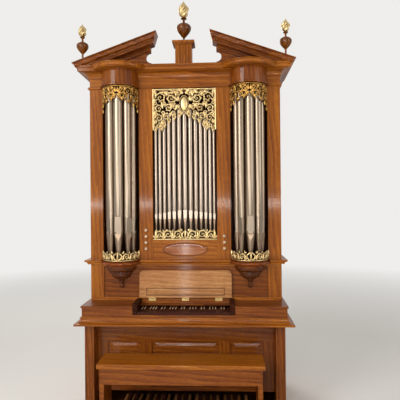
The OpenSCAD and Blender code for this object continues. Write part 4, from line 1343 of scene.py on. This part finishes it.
    def build(self, tin: Finish, shaded_tower_tin: Finish, reflected_feet_tin: Finish) -> None:
        """Models the pipes of both towers and of the flat.

        Args:
            tin: The finish of the flat's bodies.
            shaded_tower_tin: The finish of the towers' bodies, the tin painted darker as shade.
            reflected_feet_tin: The finish of the feet, darker as a painted reflection of the oak.
        """
        for name in ("tower_pipes_left", "tower_pipes_right"):
            self.row(name, self.tower(*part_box(name)), self.tower_lean, shaded_tower_tin, reflected_feet_tin)
        self.row("centre_pipes", self.flat(*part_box("centre_pipes")), self.flat_lean, tin, reflected_feet_tin)


@dataclass
class Finials:
    """The gilt flames on the urns, each of a main tongue with three smaller ones wound round it.

    A tongue has its angle in radians, its share of the flame's height, its lean and its share of the width.
    """

    tongues: tuple[tuple[float, float, float, float], ...] = (
        (0.0, 1.0, 0.0, 0.5), (0.6, 0.72, 0.16, 0.3), (2.7, 0.66, 0.18, 0.3), (4.8, 0.78, 0.14, 0.3),
    )
    lobes: int = 4
    twist: float = 2.6
    base: float = 0.3
    swell: float = 0.8
    sway_share: float = 0.8
    point: float = 6
    fullness: float = 1.22
    groove: float = 0.3
    curl: float = 1.2
    width: float = 74.0
    side_width: float = 60.0
    side_height: float = 115.0
    smooth: float = 60.0

    def lick(self, foot: Vector, angle: float, tall: float, lean: float, reach: float) -> Rule:
        """Twists a ball into a tongue of a flame.

        Args:
            foot: The middle of the flame's foot.
            angle: The way the tongue leans.
            tall: Its height.
            lean: How far it sways, as a share of its height.
            reach: Its greatest radius.

        Returns:
            The rule for the ball's points.
        """
        def twisted(point: Vector) -> Vector:
            """Moves one point of the ball.

            Args:
                point: The point of the ball.

            Returns:
                Its place in metres.
            """
            t = min(max(point.z, 0.0), 1.0)
            spin = math.atan2(point.y, point.x)
            swell = (self.base + math.sin(math.pi * t ** self.swell)) * (1 - t ** self.point)
            ridge = 1 + self.groove * math.cos(self.lobes * spin) * math.sin(math.pi * t)
            middle = min(1.0, math.hypot(point.x, point.y) / 0.02)
            radial = reach * min(1.0, swell / self.fullness) * ridge * middle
            turned = spin + self.twist * t + angle
            sway = lean * tall * math.sin(math.pi * min(1.0, t * self.sway_share))
            swayed = angle + self.curl * t
            return Vector((
                foot.x + radial * math.cos(turned) + sway * math.cos(swayed),
                foot.y + radial * math.sin(turned) + sway * math.sin(swayed),
                foot.z + tall * t,
            ))
        return twisted

    def flame(self, foot: Vector, height: float, width: float) -> Piece:
        """Models one flame of twisted tongues.

        Args:
            foot: The middle of its foot.
            height: Its height.
            width: Its greatest width.

        Returns:
            The flame.
        """
        pieces = []
        for angle, share, lean, reach in self.tongues:
            Bench.clear()
            bpy.ops.mesh.primitive_uv_sphere_add(
                segments=28, ring_count=22, radius=0.5, location=(0, 0, 0.5))
            tongue = bpy.context.active_object
            bpy.ops.object.transform_apply(location=True, rotation=True, scale=True)
            Bench.shape(tongue, self.lick(foot, angle, height * share, lean, width * reach))
            pieces.append(tongue)
        return Bench.join("flame", pieces)

    def build(self, gold: Finish) -> None:
        """Models the three flames and gilds them.

        Args:
            gold: The gold leaf.
        """
        low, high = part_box("finial_flames")
        _, urn_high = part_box("finial_urns")
        side_x = high.x - self.side_width / 2 * MM
        side_y, middle_y = low.y + self.side_width / 2 * MM, high.y - self.width / 2 * MM
        flames = [self.flame(Vector((0, middle_y, urn_high.z)), high.z - urn_high.z, self.width * MM)]
        for side in (-1, 1):
            foot = Vector((side * side_x, side_y, low.z))
            flames.append(self.flame(foot, self.side_height * MM, self.side_width * MM))
        piece = Bench.join("gilt_flames", flames)
        Bench.settle(piece, self.smooth)
        Bench.mount(piece, "root", "gold_leaf", gold, ["finial_flames"])


@dataclass
class Mouldings:
    """The dentils and the leaf strips under the raking cornices, and the oval dish in the plinth board.

    Sizes are in millimetres and degrees. A leaf of the strip has its heading, length, half width, curl and
    lift, and a ring of the dish has its distance in from the panel's edge and its place in depth.
    """

    tip: Flat = (942.0, 2944.0)
    slope: float = 19.5
    rake_height: float = 78.0
    band_front: float = 78.0
    dentil: Place = (8.5, 8.5, 14.0)
    dentil_up: float = 13.5
    dentil_sink: float = 1.0
    dentil_edge: float = 1.2
    pitch: float = 16.5
    dentils: int = 35
    first: float = 124.0
    strip_front: float = 19.0
    strip_up: float = -28
    strip_first: float = 330.0
    stem_start: float = 322.0
    stem_up: float = -30.0
    stem_width: float = 1.6
    leaves: int = 18
    leaf_pitch: float = 17.5
    leaf: tuple[Leaf, ...] = ((90, 24, 4.2, 0, 0.8), (140, 20, 3.0, -60, 0.4), (40, 20, 3.0, 60, 0.4))
    case_front: float = 26.0
    smooth: float = 50.0
    rim: tuple[Flat, ...] = (
        (0, 35), (0, 29.8), (1.6, 27.8), (4, 27.2), (6.4, 27.8), (8, 29.8), (11, 33.2), (14, 34.6),
        (20, 34.8),
    )
    panel: tuple[Flat, ...] = ((12.5, 34.9), (12.5, 34.1), (15, 33.8), (28, 33.2), (44, 32.8), (60, 32.6))

    def on_slope(self, along: float, out: float, up: float, side: int) -> Vector:
        """Places a point by its distances from a rake's lower edge.

        Args:
            along: How far it lies up the rake.
            out: How far it lies in front of the case.
            up: How far it lies above the edge, square to the rake.
            side: 1 for the right rake, -1 for the left.

        Returns:
            The point in metres.
        """
        turn = math.radians(self.slope)
        drop = up - self.rake_height
        x = self.tip[0] - along * math.cos(turn) + drop * math.sin(turn)
        z = self.tip[1] + along * math.sin(turn) + drop * math.cos(turn)
        return Vector((x * MM * side, (self.case_front - out) * MM, z * MM))

    def dentil_row(self, side: int) -> Piece:
        """Models the dentils of one rake from one block and its copies.

        Args:
            side: 1 on the right, -1 on the left.

        Returns:
            The row in its place.
        """
        wide, proud, tall = self.dentil
        low = (self.first, self.band_front - self.dentil_sink, self.dentil_up)
        high = (self.first + wide, self.band_front + proud, self.dentil_up + tall)
        block = Bench.block(low, high, self.dentil_edge, 1)
        Bench.modify(block, "ARRAY", count=self.dentils, use_relative_offset=False, use_constant_offset=True,
                     constant_offset_displace=(self.pitch, 0.0, 0.0))
        Bench.shape(block, lambda p: self.on_slope(p.x, p.y, p.z, side))
        Bench.weld(block, 1e-7)
        return block

    def leaf_strip(self, side: int) -> Piece:
        """Models the strip of small carved leaves under one rake.

        Args:
            side: 1 on the right, -1 on the left.

        Returns:
            The strip in its place.
        """
        carver = Carver()
        for k in range(self.leaves):
            x = self.strip_first + k * self.leaf_pitch
            for heading, length, width, curl, lift in self.leaf:
                carver.lobe((x, self.strip_up), heading, length, width, curl, lift)
        end = self.stem_start + self.leaves * self.leaf_pitch
        carver.bar([(self.stem_start, self.stem_up), (end, self.stem_up)], self.stem_width)
        return carver.cut("leaf_strip", lambda p: self.on_slope(
            p.x / MM, self.strip_front + p.z / MM, p.y / MM, side))

    def dish(self, name: str, rings: Sequence[Flat]) -> Piece:
        """Models an oval disc drawn through rings.

        Args:
            name: The piece's name.
            rings: The disc's rings from the wall inwards.

        Returns:
            The disc in its place.
        """
        low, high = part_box("oval_panel")
        across, tall = (high.x - low.x) / 2, (high.z - low.z) / 2
        middle = (high.z + low.z) / 2
        disc = Bench.drawn(name, 96, len(rings))

        def press(point: Vector) -> Vector:
            """Moves one point of the disc.

            Args:
                point: The point on the unit circle, with its ring's number as its height.

            Returns:
                Its place in metres.
            """
            inset, depth = rings[round(point.z)]
            x, z = point.x * (across - inset * MM), middle + point.y * (tall - inset * MM)
            return Vector((x, depth * MM, z))
        Bench.shape(disc, press)
        Bench.weld(disc)
        Bench.settle(disc, self.smooth)
        return disc

    def build(self, oak: Finish, rim_wood: Finish, veneer: Finish) -> None:
        """Models the mouldings and the oval dish.

        Args:
            oak: The wood of the dentils and the leaves.
            rim_wood: The wood of the dish's rim, darker to paint the shade round the sunk edge.
            veneer: The veneer of its field.
        """
        for side, hand in ((-1, "left"), (1, "right")):
            row = self.dentil_row(side)
            row.name = "rake_dentils_" + hand
            Bench.settle(row)
            Bench.mount(row, "root", "oak", oak)
            strip = self.leaf_strip(side)
            strip.name = "tympanum_leaves_" + hand
            Bench.weld(strip, 1e-7)
            Bench.settle(strip, self.smooth)
            Bench.mount(strip, "root", "oak", oak)
        Bench.mount(self.dish("oval_rim", self.rim), "root", "oak", rim_wood, ["oval_panel"])
        Bench.mount(self.dish("oval_field", self.panel), "root", "oak", veneer, ["oval_panel"])


@dataclass
class Console:
    """The shaped sharps with their slips, and a dark line of painted shadow round the music ledge, in
    millimetres.
    """

    slip: float = 2.6
    sharp_edge: float = 0.8
    nose_slope: float = 7.0
    nose_depth: float = 3.0
    narrowing: float = 0.24
    slip_inset: float = 0.15
    slip_front: float = 9.0
    slip_back: float = 26.0
    slip_sink: float = 0.3
    slip_edge: float = 0.7
    # The line of painted shadow round the ledge: its width, its gap from the ledge, its skin and its rounded
    # edges.
    shadow_width: float = 4.0
    shadow_gap: float = 1.0
    shadow_skin: float = 0.5
    shadow_edge: float = 0.2
    lean: float = 3.0
    lid_axis: Flat = (0.001, 0.932)

    def sharp(self, left: float, right: float, low: Vector, high: Vector) -> tuple[Piece, Piece]:
        """Models one sharp key.

        Args:
            left: Its left side.
            right: Its right side.
            low: The lowest corner of all the sharps.
            high: The highest corner of all the sharps.

        Returns:
            Its body and its slip.
        """
        crown = high.z - self.slip * MM
        body = Bench.block((left, low.y, low.z), (right, high.y, crown), self.sharp_edge * MM)
        middle = (left + right) / 2

        def taper(point: Vector) -> Vector:
            """Moves one point of the body.

            Args:
                point: The point of the plain block.

            Returns:
                Its place in metres.
            """
            share = (point.z - low.z) / (crown - low.z)
            front = self.nose_slope * MM * share if point.y < low.y + self.nose_depth * MM else 0.0
            x = middle + (point.x - middle) * (1 - self.narrowing * share)
            return Vector((x, point.y + front, point.z))
        Bench.shape(body, taper)
        edge = (right - left) * self.slip_inset
        foot = (left + edge, low.y + self.slip_front * MM, crown - self.slip_sink * MM)
        head = (right - edge, high.y - self.slip_back * MM, high.z)
        return body, Bench.block(foot, head, self.slip_edge * MM)

    def sharps(self, ebony: Finish, bone: Finish, node: Piece) -> None:
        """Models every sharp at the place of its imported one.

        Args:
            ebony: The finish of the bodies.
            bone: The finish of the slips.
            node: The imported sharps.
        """
        low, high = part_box("sharp_keys")
        places = sorted({round(vertex.co.x, 4) for vertex in node.data.vertices})
        keys = [self.sharp(places[k], places[k + 3], low, high) for k in range(0, len(places), 4)]
        bodies, slips = zip(*keys)
        for name, pieces, slot, finish in (
            ("sharp_bodies", bodies, "ebony", ebony), ("sharp_slips", slips, "bone", bone),
        ):
            piece = Bench.join(name, pieces)
            Bench.settle(piece)
            Bench.mount(piece, "root", slot, finish, ["sharp_keys"])

    def ledge_gap_shadow(self, dark: Finish, node: Piece) -> None:
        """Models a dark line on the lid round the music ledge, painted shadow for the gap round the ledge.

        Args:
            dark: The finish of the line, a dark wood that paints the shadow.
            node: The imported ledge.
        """
        axis = Vector((0, *self.lid_axis))
        turn = Matrix.Rotation(math.radians(self.lean), 3, "X")
        spots = [turn @ (vertex.co - axis) for vertex in node.data.vertices]
        left, right = min(p.x for p in spots), max(p.x for p in spots)
        front = min(p.y for p in spots)
        foot, head = min(p.z for p in spots), max(p.z for p in spots)
        gap, wide, skin = self.shadow_gap * MM, self.shadow_width * MM, self.shadow_skin * MM
        bars = [
            ((left - gap - wide, head + gap), (right + gap + wide, head + gap + wide)),
            ((left - gap - wide, foot - gap - wide), (right + gap + wide, foot - gap)),
            ((left - gap - wide, foot - gap), (left - gap, head + gap)),
            ((right + gap, foot - gap), (right + gap + wide, head + gap)),
        ]
        pieces = []
        for (x0, z0), (x1, z1) in bars:
            low, high = (x0, front - skin, z0), (x1, front + 2 * skin, z1)
            pieces.append(Bench.block(low, high, self.shadow_edge * MM, 1))
        piece = Bench.join("ledge_gap_shadow", pieces)
        back = turn.inverted()
        Bench.shape(piece, lambda p: back @ p + axis)
        Bench.settle(piece)
        Bench.mount(piece, "lid", "dark_oak", dark)

    def build(self, nodes: dict[str, Piece], ebony: Finish, bone: Finish, dark: Finish) -> None:
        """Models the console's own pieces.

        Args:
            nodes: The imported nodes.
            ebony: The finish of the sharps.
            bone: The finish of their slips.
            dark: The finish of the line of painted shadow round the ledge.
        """
        self.sharps(ebony, bone, nodes["sharp_keys"])
        self.ledge_gap_shadow(dark, nodes["music_ledge"])


LID_WOOD = {**LID_OAK, "grain": Grain.ACROSS, "varnish": 0.25, "roughness": 0.42}
OVAL = {**VENEER, "grain": Grain.ACROSS, "ring_scale": 9.0, "figure": 14.0, "varnish": 0.6, "roughness": 0.4}
SPECIAL = {
    "desk_lid": LID_WOOD,
    "music_ledge": LID_WOOD,
    "pedal_naturals": {**LID_OAK, "grain": Grain.DEEP, "varnish": 0.2, "roughness": 0.45},
    "finial_urns": {**WALNUT, "roughness": 0.34},
    "key_cheeks": {**BLACKENED, "grain": Grain.DEEP, "varnish": 0.04, "gloss": 0.05, "roughness": 0.6},
    # Painted shade and light: the corbels take the darker turned wood, and are painted paler above the crown
    # height.
    "tower_corbels": {**SHADED_TURNED, "grain": Grain.ACROSS, "varnish": 0.4, "crown": 1.2025},
}


@dataclass
class Woodwork:
    """The finishes of the case, the console and the bench."""

    frames: dict[str, tuple[float, float]] = field(default_factory=lambda: {
        "knee_frame": (0.197, 0.584), "middle_frame": (0.936, 1.202), "lower_back": (0.09, 1.17),
        "upper_back": (1.35, 2.81),
    })
    level: tuple[str, ...] = (
        "shelf_moulding", "key_desk", "middle_panel", "impost_moulding", "plinth_board", "frieze", "cornice",
        "raking_cornices", "tympanum_boards", "case_floor", "roof_board", "centre_toe_board", "name_board",
        "bench_seat", "bench_frame", "pedal_frame", "knee_panels",
    )
    stained: tuple[str, ...] = (
        "lower_back", "back_panels", "case_floor", "upper_back", "roof_board", "centre_toe_board",
        "pedal_frame",
    )
    # Painted shade: these parts take the darker oak, a shaded copy of the oak for parts that stand in deeper
    # shade.
    deep: tuple[str, ...] = (
        "tower_drums", "raking_cornices", "front_posts", "middle_panel", "knee_panels", "knee_frame",
        "key_desk", "tympanum_boards", "name_board", "bench_frame",
    )
    slots: tuple[str, ...] = ("oak", "dark_oak", "lid_oak", "walnut")

    def wood_of(self, name: str) -> Wood:
        """Picks the finish of a wooden node.

        Args:
            name: The node's name, which also shifts the pattern so that no two pieces match.

        Returns:
            The finish.
        """
        seed = sum(map(ord, name)) % 17 * 0.61
        if name in SPECIAL:
            return Wood(name, **SPECIAL[name], seed=seed)
        colours = STAINED if name in self.stained else DEEP_OAK if name in self.deep else OAK
        grain = Grain.ACROSS if name in self.level else Grain.UP
        return Wood(name, **colours, grain=grain, rails=self.frames.get(name), seed=seed)

    def build(self, nodes: dict[str, Piece], slots: dict[str, str]) -> None:
        """Dresses every wooden node.

        Args:
            nodes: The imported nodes.
            slots: Each node's material slot.
        """
        for name, node in nodes.items():
            if slots[name] in self.slots or name == "key_cheeks":
                Bench.dress(node, self.wood_of(name).build())


@dataclass(frozen=True)
class Lamp:
    """A soft lamp with its place, the point that it lights, its width, its power and its colour.

    It is square unless it has a height.
    """

    name: str
    place: Place
    aim: Place
    size: float
    power: float
    colour: Place = (1.0, 0.97, 0.92)
    height: float = 0.0

    def hang(self) -> None:
        """Hangs the lamp."""
        Bench.clear()
        bpy.ops.object.light_add(type="AREA", location=self.place)
        lamp = bpy.context.active_object
        lamp.name = self.name
        lamp.data.size = self.size
        if self.height:
            lamp.data.shape = "RECTANGLE"
            lamp.data.size_y = self.height
        lamp.data.energy = self.power
        lamp.data.color = self.colour
        lamp.rotation_euler = (Vector(self.aim) - Vector(self.place)).to_track_quat("-Z", "Y").to_euler()


@dataclass
class Studio:
    """The floor, the lights, the world and the camera."""

    pale: Colour = (0.86, 0.85, 0.83, 1.0)
    warm: Colour = (1.0, 0.96, 0.9, 1.0)
    warm_strength: float = 0.3
    floor_radius: float = 40.0
    floor_level: float = -0.0005
    floor_roughness: float = 0.55
    fade: Flat = (3.0, 9.0)
    lamps: tuple[Lamp, ...] = (
        Lamp("key", (-3.3, -4.3, 3.6), (0.0, 0.0, 1.9), 2.2, 172.0),
        Lamp("fill", (4.6, -3.2, 3.0), (0.0, 0.0, 1.9), 2.4, 70.0),
        Lamp("window", (-0.3, -4.6, 1.72), (-0.3, 0.0, 1.72), 4.2, 46.0, (1.0, 0.98, 0.95), 0.1),
        Lamp("door", (-0.36, -4.4, 1.8), (-0.36, 0.0, 1.8), 0.14, 22.0, (1.0, 0.98, 0.95), 3.2),
        Lamp("rim", (-2.0, 4.5, 4.5), (0.0, 0.0, 1.9), 2.5, 110.0),
    )
    camera_at: Place = (0.314, -3.831, 1.755)
    yaw: float = 2.72
    pitch: float = 0.23
    roll: float = -0.49
    focal_pixels: float = 449.1
    image_pixels: float = 400.0
    sensor: float = 36.0

    def floor(self) -> None:
        """Lays a plain pale floor that fades into the background far off."""
        Bench.clear()
        bpy.ops.mesh.primitive_circle_add(
            vertices=96, radius=self.floor_radius, fill_type="NGON", location=(0, 0, self.floor_level))
        ground = bpy.context.active_object
        ground.name = "floor"
        graph = Graph("pale_floor")
        shader = graph.add("BsdfPrincipled", {"Base Color": self.pale, "Roughness": self.floor_roughness})
        glow = graph.add("Emission", {"Color": self.pale, "Strength": 1.0})
        far = graph.add("VectorMath", {0: graph.coordinates()}, operation="LENGTH").outputs[1]
        share = graph.add("MapRange", {0: far, 1: self.fade[0], 2: self.fade[1]}).outputs[0]
        paths = graph.add("LightPath")
        seen = graph.maths("MAXIMUM", paths.outputs["Is Camera Ray"], paths.outputs["Is Glossy Ray"])
        inputs = {0: graph.maths("MULTIPLY", share, seen), 1: shader.outputs[0], 2: glow.outputs[0]}
        Bench.dress(ground, graph.end(graph.add("MixShader", inputs).outputs[0]))

    def world(self) -> None:
        """Sets a pale background and a softer light from all round."""
        graph = Graph("studio", world=True)
        light = graph.add("Background", {0: self.warm, 1: self.warm_strength})
        shown = graph.add("Background", {0: self.pale})
        paths = graph.add("LightPath")
        seen = graph.maths("MAXIMUM", paths.outputs["Is Camera Ray"], paths.outputs["Is Glossy Ray"])
        seen = graph.maths("MAXIMUM", seen, paths.outputs["Is Transmission Ray"])
        mixed = graph.add("MixShader", {0: seen, 1: light.outputs[0], 2: shown.outputs[0]})
        bpy.context.scene.world = graph.end(mixed.outputs[0])

    def camera(self) -> None:
        """Places the camera at the photograph's viewpoint."""
        Bench.clear()
        bpy.ops.object.camera_add()
        camera = bpy.context.active_object
        camera.data.lens = self.focal_pixels / self.image_pixels * self.sensor
        camera.data.sensor_width = self.sensor
        yaw = Matrix.Rotation(math.radians(self.yaw), 3, "Z")
        turn = yaw @ Matrix.Rotation(math.radians(self.pitch), 3, "X")
        right, ahead, up = (turn @ Vector(axis) for axis in ((1, 0, 0), (0, 1, 0), (0, 0, 1)))
        c, s = math.cos(math.radians(self.roll)), math.sin(math.radians(self.roll))
        across, above = c * right + s * up, c * up - s * right
        camera.matrix_world = Matrix((
            (across.x, above.x, -ahead.x, self.camera_at[0]),
            (across.y, above.y, -ahead.y, self.camera_at[1]),
            (across.z, above.z, -ahead.z, self.camera_at[2]),
            (0, 0, 0, 1),
        ))
        bpy.context.scene.camera = camera

    def build(self) -> None:
        """Sets up the whole studio."""
        self.floor()
        self.world()
        for lamp in self.lamps:
            lamp.hang()
        self.camera()
        bpy.context.scene.view_settings.view_transform = "Standard"


def corners(box: Iterable[Vector]) -> list[list[float]]:
    """Returns a box's corners as plain lists."""
    return [list(corner) for corner in box]


def main() -> None:
    """Builds every part of the scene in order."""
    logging.basicConfig(level=logging.INFO, format="%(name)s: %(message)s")
    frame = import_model()
    nodes = frame["nodes"]
    slots = {part["node"]: part["material_slot"] for part in frame["record"]["subparts"]}
    Bench.clear()
    Woodwork().build(nodes, slots)
    metals = (TIN, SHADED_TOWER_TIN, PAINTED_REFLECTION_TIN, GOLD, SHADED_GOLD, BRASS)
    finishes = {finish.name: finish.build() for finish in (*metals, EBONY, BONE)}
    plain = {"pipe_metal": "tin", **{name: name for name in ("gold_leaf", "ebony", "bone", "brass")}}
    for name, node in nodes.items():
        if slots[name] in plain and name != "key_cheeks":
            Bench.dress(node, finishes[plain[slots[name]]])
    Pipes().build(finishes["tin"], finishes["shaded_tower_tin"], finishes["feet_tin_painted_reflection"])
    Gilding().build(finishes["gold_leaf"], finishes["shaded_gold"])
    Finials().build(finishes["gold_leaf"])
    trim = Wood("trim_oak", **DEEP_OAK, grain=Grain.ACROSS, seed=1.1).build()
    # Painted shadow: the blackened wood of the line round the music ledge.
    dark = Wood("painted_gap_shadow", **BLACKENED, grain=Grain.ACROSS, seed=2.3).build()
    veneer = Wood("oval_veneer", **OVAL, seed=3.7).build()
    # Painted shade: the rim takes a darker oak, which paints the shade round the edge of the sunk oval.
    shaded_rim_wood = Wood("shaded_rim_oak", **DEEP_OAK, grain=Grain.ACROSS, varnish=0.5, seed=2.9).build()
    Mouldings().build(trim, shaded_rim_wood, veneer)
    Console().build(nodes, finishes["ebony"], finishes["bone"], dark)
    Studio().build()


if __name__ == "__main__":
    main()
